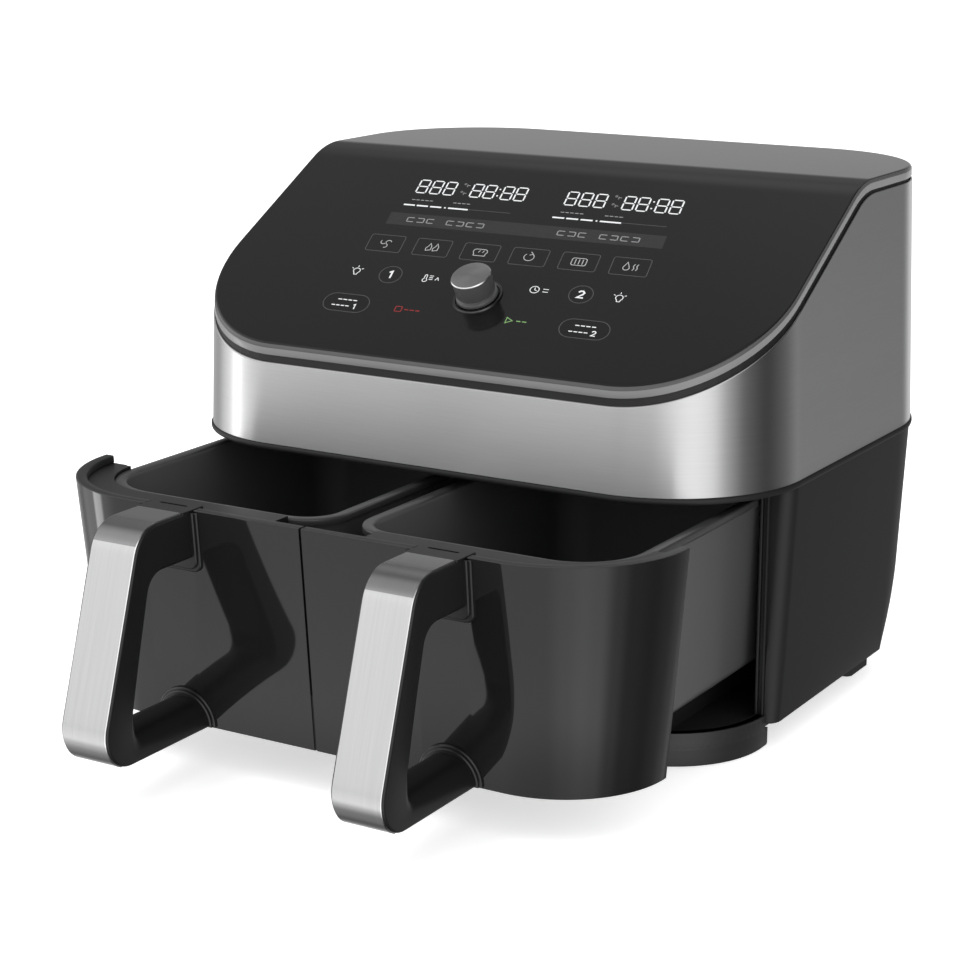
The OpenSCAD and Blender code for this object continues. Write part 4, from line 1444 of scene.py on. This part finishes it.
    def draw_lamp(self, x: float) -> None:
        """A lamp that shines.

        Args:
            x: Middle of the lamp, in millimetres from the panel's middle.
        """
        spot = Spot(x, self.row_icons)
        bulb = arc((0.0, 0.6), 2.3, -55, 235, 14) + [(-0.9, -2.9), (0.9, -2.9)]
        self.draw("white_print", spot, bulb, 0.5, closed=True)
        for turn in (30, 90, 150):
            c, s = math.cos(math.radians(turn)), math.sin(math.radians(turn))
            self.draw("white_print", spot, [(3.3 * c, 0.6 + 3.3 * s), (4.7 * c, 0.6 + 4.7 * s)], 0.5)

    def draw_numeral(self, spot: Spot, number: int, size: float, width: float) -> None:
        """Draws a one or a two.

        Args:
            spot: Spot that it is drawn about.
            number: The number.
            size: Height of the figure, in millimetres.
            width: Width of the line, in millimetres.
        """
        shapes = {1: [(-0.22, 0.30), (0.08, 0.5), (0.08, -0.5)],
                  2: [(-0.30, 0.28), (-0.12, 0.46), (0.14, 0.46), (0.30, 0.24), (0.20, 0.02),
                      (-0.32, -0.46), (0.34, -0.46)]}
        self.draw("white_print", spot, [(x * size, y * size) for x, y in shapes[number]], width)

    def draw_basket_keys(self) -> None:
        """Draws the numbered round keys, the lamps and the setting keys."""
        for number, x, lamp, pill in ((1, -66.2, -90.4, -81.0), (2, 61.9, 86.2, 78.0)):
            spot = Spot(x, self.row_icons)
            self.draw("faint_print", spot, arc((0.0, 0.0), 7.6, 0, 350, 35), 0.55, closed=True)
            self.draw_numeral(spot, number, 6.2, 1.15)
            self.draw_lamp(lamp)
            spot = Spot(pill, self.row_foot)
            outline = rounded_box(31.5, 15.6, 7.6, 6)
            self.fill("shade_print", spot, outline, self.panel.patch_t)
            self.draw("faint_print", spot, outline, 0.55, closed=True)
            for px in (-5.2, -1.7, 1.8, 5.3):
                self.dash("white_print", spot, px, 2.6, 2.6, 0.75)
            for px in (-8.0, -4.8, -1.6, 1.6):
                self.dash("white_print", spot, px, -2.8, 2.4, 0.75)
            self.draw_numeral(Spot(*spot.put(6.6, -2.8)), number, 4.2, 0.7)

    def draw_knob_keys(self) -> None:
        """Draws the temperature, time, stop and start marks round the knob."""
        spot = Spot(-38.4, self.row_icons)
        thermometer = arc((-3.6, -1.6), 1.5, 120, 420, 12) + arc((-3.6, 2.6), 0.75, 0, 180, 5)
        self.draw("white_print", spot, thermometer, 0.5, closed=True)
        for y in (-0.6, 1.0, 2.6):
            self.dash("white_print", spot, 0.2, y, 2.6, 0.5)
        self.draw("white_print", spot, [(3.4, -1.0), (4.6, 1.6), (5.8, -1.0)], 0.5)
        spot = Spot(34.4, self.row_icons)
        self.draw("white_print", spot, arc((-2.6, 0.0), 2.9, 0, 345, 23), 0.5, closed=True)
        self.draw("white_print", spot, [(-2.6, 1.9), (-2.6, 0.0), (-1.0, -0.9)], 0.5)
        for y in (1.2, -1.2):
            self.dash("white_print", spot, 4.6, y, 3.6, 0.5)
        spot = Spot(-37.4, 45.6)
        self.draw("red_print", spot, rounded_box(4.4, 4.4, 0.6, 3, x=-7.0), 0.6, closed=True)
        for x in (-1.6, 2.2, 6.0):
            self.dash("red_print", spot, x, 0.0, 2.8, 0.8)
        spot = Spot(34.1, 46.4)
        self.draw("green_print", spot, [(-6.6, -2.4), (-2.6, 0.0), (-6.6, 2.4)], 0.6, closed=True)
        for x in (1.4, 5.2):
            self.dash("green_print", spot, x, 0.0, 2.8, 0.8)

    def build(self) -> None:
        """Draws every mark and makes one piece for each ink."""
        strip = [(-94.0, -5.8), (94.0, -5.8), (94.0, 5.8), (-94.0, 5.8)]
        self.fill("band_print", Spot(-3.0, self.row_band), strip, self.panel.patch_t)
        self.draw_display(-94.0)
        self.draw_display(10.4)
        self.draw_keys()
        self.draw_basket_keys()
        self.draw_knob_keys()
        for ink, mesh in self.sheets.items():
            mesh.build(f"panel_{ink}", "housing", [ink], slot="gloss_cover", weld=1e-8)


# ---------------------------------------------------------------------------
# Drawers
# ---------------------------------------------------------------------------


@dataclass
class Drawer:
    """One drawer: front shell, basket, handle loop and its steel strap."""

    side: int
    half_w: float = 0.1905
    corner_r: float = 0.073
    lean: float = 0.0109
    split: float = 0.00075
    wall: float = 0.003
    rim_w: float = 0.0062
    rim_h: float = 0.004
    basket_x: Plan = (0.009, 0.1688)
    basket_y: Plan = (0.032, 0.266)
    basket_r: float = 0.024
    basket_front_r: float = 0.040
    basket_draft: float = 0.038
    flange: float = 0.002
    handle_x: float = 0.086
    handle_w: float = 0.032
    strap_w: float = 0.029
    strap_t: float = 0.0012
    grip_lean: float = 17.86
    opening_lean: float = 13.7
    top_bend_r: float = 0.020
    low_bend_r: float = 0.0196
    opening_z: Plan = (0.042, 0.126)
    opening_low_r: float = 0.012
    opening_top_r: float = 0.014
    grip_depth: float = 0.0231
    arm_low_z: float = 0.034
    arm_top_z: float = 0.140

    def __post_init__(self) -> None:
        """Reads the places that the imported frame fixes."""
        self.word = "left" if self.side < 0 else "right"
        self.body = f"drawer_{self.word}"
        shell_low, shell_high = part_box(f"front_shell_{self.word}")
        self.front_y = shell_low.y
        self.low_z, self.top_z = shell_low.z + 0.0010, shell_high.z
        basket_low, basket_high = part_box(f"basket_{self.word}")
        self.basket_low_z, self.basket_top_z = basket_low.z, basket_high.z
        handle_low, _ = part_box(f"handle_frame_{self.word}")
        strap_low, strap_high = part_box(f"handle_strap_{self.word}")
        self.handle_reach = self.front_y - strap_low.y
        self.handle_top_z = strap_high.z
        self.handle_low_z = handle_low.z + 0.0014

    def at(self, x: float, y: float, z: float) -> Vector:
        """A point of this drawer: x from the middle, y behind the shut drawer's face."""
        return Vector((self.side * x, self.front_y + y, z))

    def face_y(self, z: float) -> float:
        """Depth of the leaning face at a height."""
        return self.lean * (self.top_z - z) / (self.top_z - self.low_z)

    def front_stations(self, steps: int = 40) -> list[Station]:
        """Outline of the front from the split round the outer corner to the wing's end.

        Args:
            steps: Steps in the corner.

        Returns:
            The stations.
        """
        corner = bend((self.half_w - self.corner_r, self.corner_r), self.corner_r, -90, 0, steps)
        start = Station(self.split, 0.0, 0.0, -1.0)
        return [start] + between(start, corner[0], 12) + corner

    def build_shell(self) -> None:
        """Drawer front: a leaning glossy wall with a thick rim on top."""
        top, low, rim, wall = self.top_z, self.low_z, self.rim_w, self.wall
        profile = [(wall - 0.0004, low), (0.0006, low), (0.0001, low + 0.0003), (0.0, low + 0.0010),
                   (0.0, top - 0.0009), (0.0001, top - 0.0004), (0.0005, top - 0.0001), (0.0010, top),
                   (rim - 0.0008, top), (rim - 0.0002, top - 0.0002), (rim, top - 0.0008),
                   (rim, top - self.rim_h), (wall, top - self.rim_h - 0.002), (wall, low + 0.0004)]
        rows = [[self.at(*s.inset(inset + self.face_y(z)), z) for inset, z in profile]
                for s in self.front_stations()]
        mesh = Mesh()
        # Faces round the front's upper bevel take the lighter rim plastic as a painted highlight. The rim top
        # takes the frame plastic.
        verts = mesh.grid(
            rows, wrap_columns=True,
            material=lambda _row, column: 2 if 7 <= column <= 10 else (1 if column in (5, 6) else 0))
        mesh.close(verts)
        clip = rounded_box(0.0056, 0.0062, 0.0010, 3, self.half_w - 0.0052, self.corner_r - 0.0036)
        mesh.prism(clip, top - 0.016, top + 0.0013, edge=0.0004, place=self.at)
        shell = mesh.build(f"drawer_front_{self.word}", self.body,
                           ["front_gloss", "rim_plastic_and_painted_bevel_highlight", "frame_plastic"], [f"front_shell_{self.word}"])
        x = self.side * self.handle_x
        half = self.handle_w / 2 + 0.0005
        cut_away(shell, Vector((x - half, self.front_y - 0.01, top - 0.0015)),
                 Vector((x + half, self.front_y + 0.0112, top + 0.01)))

    def basket_stations(self, steps: int = 16) -> list[Station]:
        """Outline of the basket, counter-clockwise from its inner front corner.

        Args:
            steps: Steps in each corner.

        Returns:
            The stations.
        """
        (x0, x1), (y0, y1) = self.basket_x, self.basket_y
        r, f = self.basket_r, self.basket_front_r
        return (bend((x0 + r, y0 + r), r, 180, 270, steps) + bend((x1 - f, y0 + f), f, 270, 360, steps)
                + bend((x1 - r, y1 - r), r, 0, 90, steps) + bend((x0 + r, y1 - r), r, 90, 180, steps))

    def build_basket(self) -> None:
        """Basket: a coated tub with a flat rolled rim and rounded floor edges."""
        top, low, draft = self.basket_top_z, self.basket_low_z, self.basket_draft
        fl, floor_r, inner_r, sheet = self.flange, 0.008, 0.010, 0.0022
        rim_in = 0.0046
        lean = lambda z: draft * (top - z)
        outer = [(lean(low) + floor_r, low)]
        for i in range(1, 7):
            a = math.radians(15 * i)
            outer.append((lean(low + floor_r) + floor_r * (1 - math.sin(a)),
                          low + floor_r * (1 - math.cos(a))))
        outer += [(0.0002, top - 0.0062), (-0.0002, top - 0.0052), (-fl + 0.0003, top - 0.0042),
                  (-fl, top - 0.0036)]
        rim = [(-fl, top - 0.0010), (-fl + 0.0003, top - 0.0003), (-fl + 0.0010, top)]
        inside = [(rim_in - 0.0012, top), (rim_in - 0.0003, top - 0.0003), (rim_in + 0.0004, top - 0.0012),
                  (rim_in + 0.0006, top - 0.0030)]
        floor = low + sheet
        for i in range(7):
            a = math.radians(15 * i)
            inside.append((lean(floor + inner_r) + rim_in - 0.001 + inner_r * (1 - math.cos(a)),
                           floor + inner_r * (1 - math.sin(a))))
        rows = [[self.at(*s.inset(inset), z) for s in self.basket_stations()]
                for inset, z in outer + rim + inside]
        mesh = Mesh()
        rim_row = len(outer) - 2
        inside_row = len(outer) + len(rim) + 2
        # The inside rows take the lighter coating as painted fill light. The outside takes the plain coating
        # and the rim takes the rim plastic.
        verts = mesh.grid(
            rows, wrap_columns=True,
            material=lambda row, _column: 0 if row >= inside_row else (2 if row >= rim_row else 1))
        mesh.close(verts, first=1)
        mesh.build(f"basket_tub_{self.word}", self.body, ["basket_coating", "basket_side", "rim_plastic_and_painted_bevel_highlight"],
                   [f"basket_{self.word}"], sharp=45)

    def tangent(self, angle: float, offset: float, z: float, r: float) -> Plan:
        """Centre of a circle at a height that touches a leaning line."""
        a = math.radians(angle)
        return (offset - r - math.sin(a) * z) / math.cos(a), z

    def handle_lines(self, bend_steps: int = 14) -> tuple[list[Plan], list[Plan]]:
        """Outer and inner line of the handle in side view, point for point.

        Args:
            bend_steps: Steps in each bend.

        Returns:
            The two lines, as y and z.
        """
        angle = 180 - self.grip_lean
        a = math.radians(angle)
        low = (self.low_bend_r - self.handle_reach, self.handle_low_z + self.low_bend_r)
        offset = math.cos(a) * low[0] + math.sin(a) * low[1] + self.low_bend_r
        top = self.tangent(angle, offset, self.handle_top_z - self.top_bend_r, self.top_bend_r)
        open_angle = 180 - self.opening_lean
        open_offset = offset - self.grip_depth
        top_r, low_r = self.opening_top_r, self.opening_low_r
        inner_top = self.tangent(open_angle, open_offset, self.opening_z[1] - top_r, top_r)
        inner_low = self.tangent(open_angle, open_offset, self.opening_z[0] + low_r, low_r)
        back_top, back_low = self.face_y(self.arm_top_z) + 0.001, self.face_y(self.arm_low_z) + 0.001
        arm = [0.0, 0.35, 0.7, 0.9]
        outer = [(back_top + (top[0] - back_top) * s, self.handle_top_z) for s in arm]
        inner = [(back_top + (inner_top[0] - back_top) * s, self.opening_z[1]) for s in arm]
        outer += arc(top, self.top_bend_r, 90, angle, bend_steps)
        inner += arc(inner_top, top_r, 90, open_angle, bend_steps)
        outer_bend = arc(low, self.low_bend_r, angle, 270, bend_steps)
        inner_bend = arc(inner_low, low_r, open_angle, 270, bend_steps)
        for line, low_bend in ((outer, outer_bend), (inner, inner_bend)):
            (y0, z0), (y1, z1) = line[-1], low_bend[0]
            line += [(y0 + (y1 - y0) * s, z0 + (z1 - z0) * s) for s in (0.2, 0.4, 0.6, 0.8)] + low_bend
        for s in (0.25, 0.6, 1.0):
            outer.append((low[0] + (back_low - low[0]) * s, self.handle_low_z))
            inner.append((inner_low[0] + (back_low - inner_low[0]) * s, self.opening_z[0]))
        return outer, inner

    def section(self, outer: Plan, inner: Plan, width: float, outer_r: float, inner_r: float,
                steps: int) -> list[Vector]:
        """Rounded four-sided section between an outer and an inner point of the side view.

        Args:
            outer: Outer point, as depth and height.
            inner: Inner point.
            width: Width across.
            outer_r: Radius of the two outer corners.
            inner_r: Radius of the two inner corners.
            steps: Steps round each corner.

        Returns:
            The section's points.
        """
        across = Vector((inner[0] - outer[0], inner[1] - outer[1]))
        depth = across.length
        across.normalize()
        w = width / 2
        loop: list[Plan] = []
        corners = ((outer_r, w - outer_r, outer_r), (inner_r, w - inner_r, depth - inner_r),
                   (inner_r, inner_r - w, depth - inner_r), (outer_r, outer_r - w, outer_r))
        for i, (r, cx, cy) in enumerate(corners):
            loop += arc((cx, cy), r, 90 * i - 90, 90 * i, steps)
        return [self.at(self.handle_x + x, outer[0] + across.x * d, outer[1] + across.y * d) for x, d in loop]

    def build_handle(self) -> None:
        """Moulded handle: a loop whose lower arm is domed, with collars where it meets the front."""
        outer, inner = self.handle_lines()
        count = len(outer)
        dome_start, dome_full = count - 16, count - 4
        mesh = Mesh()
        rows = []
        for i, (o, n) in enumerate(zip(outer, inner)):
            share = min(1.0, max(0.0, (i - dome_start) / (dome_full - dome_start)))
            share = share * share * (3 - 2 * share)
            rows.append(self.section(o, n, self.handle_w - 0.0004, 0.0016, 0.0030 + 0.0105 * share, 6))
        verts = mesh.grid(rows, wrap_columns=True)
        mesh.close(verts)
        for grow, proud in ((0.0, 0.0030), (0.0017, 0.0017)):
            self.add_collar(mesh, self.upper_collar(grow), proud)
            self.add_collar(mesh, self.lower_collar(grow), proud)
        mesh.build(f"handle_loop_{self.word}", self.body, ["handle_plastic"],
                   [f"handle_frame_{self.word}"], sharp=40)

    def upper_collar(self, grow: float) -> list[Plan]:
        """Outline of the upper collar on the drawer's face, as x and z.

        Args:
            grow: Distance the outline is grown by.

        Returns:
            The points.
        """
        half, low, high = 0.0178 + grow, 0.1195 - grow, self.top_z - 0.0010
        r = 0.005
        return ([(self.handle_x + half, high), (self.handle_x - half, high)]
                + arc((self.handle_x - half + r, low + r), r, 180, 270, 6)
                + arc((self.handle_x + half - r, low + r), r, 270, 360, 6))

    def lower_collar(self, grow: float) -> list[Plan]:
        """Outline of the arched lower collar on the drawer's face, as x and z.

        Args:
            grow: Distance the outline is grown by.

        Returns:
            The points.
        """
        r, low = 0.0178 + grow, self.handle_low_z + 0.0004
        foot = [(self.handle_x - r, low), (self.handle_x + r, low)]
        return arc((self.handle_x, low + 0.001), r, 0, 180, 24) + foot

    def add_collar(self, mesh: Mesh, outline: Sequence[Plan], proud: float) -> None:
        """Adds a flange that stands on the leaning face."""
        place = lambda x, z, lift: self.at(x, self.face_y(z) - lift, z)
        mesh.prism(outline, -0.001, proud, edge=0.0006, place=place)

    def build_strap(self) -> None:
        """Bent steel strap set into the handle, with polished edges; the edges' brighter steel is a painted
        highlight and the top arm's darker steel is painted shade.
        """
        proud, t = 0.0005, self.strap_t
        start_y, end_angle = -0.0082, 248.0
        angle = 180 - self.grip_lean
        low_centre = (self.low_bend_r - self.handle_reach, self.handle_low_z + self.low_bend_r)
        a = math.radians(angle)
        offset = math.cos(a) * low_centre[0] + math.sin(a) * low_centre[1] + self.low_bend_r
        top_centre = self.tangent(angle, offset, self.handle_top_z - self.top_bend_r, self.top_bend_r)
        line = [Station(start_y, self.handle_top_z, 0.0, 1.0)]
        line += between(line[0], Station(top_centre[0], self.handle_top_z, 0.0, 1.0), 4)
        line += bend(top_centre, self.top_bend_r, 90, angle, 20)
        low_part = bend(low_centre, self.low_bend_r, angle, end_angle, 20)
        line += between(line[-1], low_part[0], 12) + low_part
        w, e = self.strap_w / 2, 0.00035
        loop = [(-w, -proud + e), (-w + e, -proud), (w - e, -proud), (w, -proud + e), (w, t), (-w, t)]
        rows = [[self.at(self.handle_x + x, *s.inset(inset)) for x, inset in loop] for s in line]
        mesh = Mesh()
        # The outer face of the top arm and bend takes the darker steel as painted shade. The edges and back
        # take the brighter steel as a painted highlight.
        verts = mesh.grid(rows, wrap_columns=True,
                          material=lambda row, column: 1 if column != 1 else (2 if row < 20 else 0))
        mesh.close(verts, 1, 1)
        self.build_plate(start_y)
        mesh.build(f"handle_strap_sheet_{self.word}", self.body,
                   ["strap_steel", "polished_edge_steel_painted_highlight", "strap_top_painted_shade_steel"],
                   [f"handle_strap_{self.word}"], sharp=30)

    def build_plate(self, front: float) -> None:
        """Plate that joins the handle to the rim, with a slit for the strap's tongue.

        Args:
            front: Depth of the plate's front edge.
        """
        back, top, low = 0.0105, self.top_z + 0.0003, self.top_z - 0.0013
        middle = (front + back) / 2
        outer = rounded_box(self.handle_w - 0.0004, back - front, 0.0012, 4, self.handle_x, middle)
        slit = rounded_box(0.0185, 0.0019, 0.0009, 4, self.handle_x, 0.0042)
        rings = [(outer, low), (outer, top - 0.0003), (shrink(outer, 0.0003), top), (slit, top),
                 (slit, top - 0.0012)]
        mesh = Mesh()
        rows = [[self.at(x, y, z) for x, y in outline] for outline, z in rings]
        verts = mesh.grid(rows, wrap_columns=True)
        mesh.close(verts)
        mesh.build(f"handle_plate_{self.word}", self.body, ["frame_plastic"], slot="handle_plastic")

    def build(self) -> None:
        """Builds the drawer's pieces."""
        self.build_shell()
        self.build_basket()
        self.build_handle()
        self.build_strap()


# ---------------------------------------------------------------------------
# Studio
# ---------------------------------------------------------------------------


@dataclass(frozen=True)
class Softbox:
    """A rectangular light aimed at a point."""

    name: str
    place: tuple[float, float, float]
    aim: tuple[float, float, float]
    width: float
    height: float
    power: float


@dataclass
class Studio:
    """Pale floor, white surround, soft lights and the camera."""

    azimuth: float = 31.02
    elevation: float = 14.76
    camera_place: tuple[float, float, float] = (0.7042, -1.16634, 0.4939)
    focal_length: float = 89.05
    floor_half: float = 40.0
    floor_glow: float = 0.58
    ambient: float = 1.05
    panel_power: float = 1.6
    panels: Sequence[tuple[float, float]] = (
        (-180, 0.62), (-140, 0.62), (-122, 0.40), (-108, 0.30), (-94, 0.62), (-78, 0.85), (-64, 0.78),
        (-50, 0.60), (-30, 0.62), (12, 0.62), (30, 0.80), (46, 0.92), (60, 0.82), (76, 0.32), (90, 0.10),
        (112, 0.04), (130, 0.10), (146, 0.20), (154, 0.30), (157.5, 0.13), (161, 0.13), (168, 0.25),
        (180, 0.62))
    levels: Sequence[tuple[float, float]] = (
        (-90, 0.10), (-52, 0.20), (-40, 0.60), (-30, 1.10), (-16, 1.0), (0, 0.90), (18, 1.05), (34, 1.10),
        (46, 0.60), (62, 0.36), (90, 0.42))
    back_levels: Sequence[tuple[float, float]] = (
        (-90, 0.10), (-50, 0.30), (-30, 1.0), (-4, 0.80), (5, 0.50), (12, 0.34), (18, 0.20), (34, 0.30),
        (50, 0.52), (90, 0.50))
    strip_turn: Sequence[tuple[float, float]] = ((0.272, 0.0), (0.280, 1.0), (0.304, 1.0), (0.316, 0.0))
    strip_rise: Sequence[tuple[float, float]] = ((0.32, 0.0), (0.34, 1.0), (0.40, 1.0), (0.43, 0.0))
    strip_power: float = 3.0
    softboxes: list[Softbox] = field(default_factory=lambda: [
        Softbox("key_light", (-0.7, -0.9, 1.9), (0.0, 0.0, 0.0), 1.6, 1.6, 16.0)])

    def build_floor(self) -> None:
        """A pale floor that runs far behind the object."""
        bm = bmesh.new()
        bmesh.ops.create_grid(bm, x_segments=8, y_segments=8, size=self.floor_half)
        data = bpy.data.meshes.new("floor")
        bm.to_mesh(data)
        bm.free()
        floor = bpy.data.objects.new("floor", data)
        bpy.context.scene.collection.objects.link(floor)
        material, _, shader = new_material("floor_paper", (0.90, 0.90, 0.90), 0.9)
        set_inputs(shader, {"Specular IOR Level": 0.0, "Emission Color": (1.0, 1.0, 1.0, 1.0),
                            "Emission Strength": self.floor_glow})
        data.materials.append(material)
        floor.visible_glossy = False

    def build_surround(self) -> None:
        """White surround; what shiny surfaces reflect has lighter and darker panels round it."""
        world = bpy.data.worlds.new("surround")
        bpy.context.scene.world = world
        world.use_nodes = True
        tree = world.node_tree
        split = add_node(tree, "ShaderNodeSeparateXYZ")
        tree.links.new(add_node(tree, "ShaderNodeTexCoord").outputs["Generated"], split.inputs[0])
        forward = calculate(tree, "MULTIPLY", split.outputs["Y"], -1.0)
        turn = calculate(tree, "ARCTAN2", split.outputs["X"], forward)
        share = calculate(tree, "ADD", calculate(tree, "DIVIDE", turn, 2 * math.pi), 0.5)
        around = self.ramp(tree, share, [(0.5 + degrees / 360, value) for degrees, value in self.panels])
        height = scale_and_shift(tree, split.outputs["Z"], 0.5, 0.5)
        upward, behind = [
            self.ramp(tree, height, [(0.5 + math.sin(math.radians(degrees)) / 2, value)
                                     for degrees, value in stops])
            for stops in (self.levels, self.back_levels)]
        depth = scale_and_shift(tree, split.outputs["Y"], 0.5, 0.5)
        level = self.blend(tree, self.ramp(tree, depth, [(0.5, 0.0), (0.72, 1.0)]), upward, behind)
        strip = calculate(tree, "MULTIPLY", self.ramp(tree, share, self.strip_turn),
                          self.ramp(tree, height, self.strip_rise))
        pattern = calculate(tree, "MULTIPLY", calculate(tree, "MULTIPLY", around, level), self.panel_power)
        pattern = calculate(tree, "ADD", pattern, calculate(tree, "MULTIPLY", strip, self.strip_power))
        path = add_node(tree, "ShaderNodeLightPath")
        plain = self.blend(tree, path.outputs["Is Glossy Ray"], self.ambient, pattern)
        seen = self.blend(tree, path.outputs["Is Camera Ray"], plain, 1.0)
        tree.links.new(seen, tree.nodes["Background"].inputs["Color"])

    def ramp(self, tree: Tree, factor: Socket,
             stops: Sequence[tuple[float, float]]) -> Socket:
        """Adds a smooth grey ramp.

        Args:
            tree: Tree that gets the node.
            factor: Value that runs along the ramp.
            stops: Places on the ramp and the grey at each.

        Returns:
            The output socket.
        """
        node = add_node(tree, "ShaderNodeValToRGB")
        node.color_ramp.interpolation = "EASE"
        tree.links.new(factor, node.inputs["Fac"])
        elements = node.color_ramp.elements
        while len(elements) < len(stops):
            elements.new(0.5)
        for element, (position, value) in zip(elements, stops):
            element.position = position
            element.color = (value, value, value, 1.0)
        return node.outputs["Color"]

    def blend(self, tree: Tree, share: Socket, first: object,
              second: object) -> Socket:
        """Adds a mix of two values, each a socket or a number.

        Args:
            tree: Tree that gets the node.
            share: Share of the second value.
            first: A socket or a number.
            second: A socket or a number.

        Returns:
            The output socket.
        """
        node = add_node(tree, "ShaderNodeMix", data_type="FLOAT")
        tree.links.new(share, node.inputs[0])
        feed(tree, first, node.inputs[2])
        feed(tree, second, node.inputs[3])
        return node.outputs[0]

    def build_lights(self) -> None:
        """Soft rectangular lights."""
        for box in self.softboxes:
            light = bpy.data.lights.new(box.name, "AREA")
            light.shape = "RECTANGLE"
            light.size, light.size_y, light.energy = box.width, box.height, box.power
            lamp = bpy.data.objects.new(box.name, light)
            lamp.visible_glossy = False
            bpy.context.scene.collection.objects.link(lamp)
            lamp.location = box.place
            lamp.rotation_euler = (Vector(box.aim) - Vector(box.place)).to_track_quat("-Z", "Y").to_euler()

    def build_camera(self) -> None:
        """Camera at the height and side from which the object is shown."""
        data = bpy.data.cameras.new("camera")
        data.lens, data.sensor_width = self.focal_length, 36.0
        data.clip_start, data.clip_end = 0.01, 50.0
        camera = bpy.data.objects.new("camera", data)
        bpy.context.scene.collection.objects.link(camera)
        camera.location = self.camera_place
        camera.rotation_euler = (math.radians(90 - self.elevation), 0.0, math.radians(self.azimuth))
        bpy.context.scene.camera = camera

    def build(self) -> None:
        """Builds the studio."""
        self.build_floor()
        self.build_surround()
        self.build_lights()
        self.build_camera()
        scene = bpy.context.scene
        scene.view_settings.view_transform = "Standard"
        scene.cycles.use_denoising = True
        scene.render.film_transparent = False


def dress_carried_nodes() -> None:
    """Gives every CAD node that still shows the finish of its material slot."""
    slots = {part["node"]: part["material_slot"] for part in frame["record"]["subparts"]}
    for name, node in frame["nodes"].items():
        if node.hide_render:
            continue
        for slot in node.material_slots:
            slot.material = MATERIALS[slots[name]]
        LOG.info("%s keeps its CAD shape in %s", name, slots[name])


def main() -> None:
    """Builds every sub-assembly in order."""
    logging.basicConfig(level=logging.INFO, format="%(name)s: %(message)s")
    housing = Housing()
    housing.build()
    panel = ControlPanel(housing)
    panel.build_knob()
    Markings(panel).build()
    for side in (-1, 1):
        Drawer(side).build()
    dress_carried_nodes()
    Studio().build()


if __name__ == "__main__":
    main()
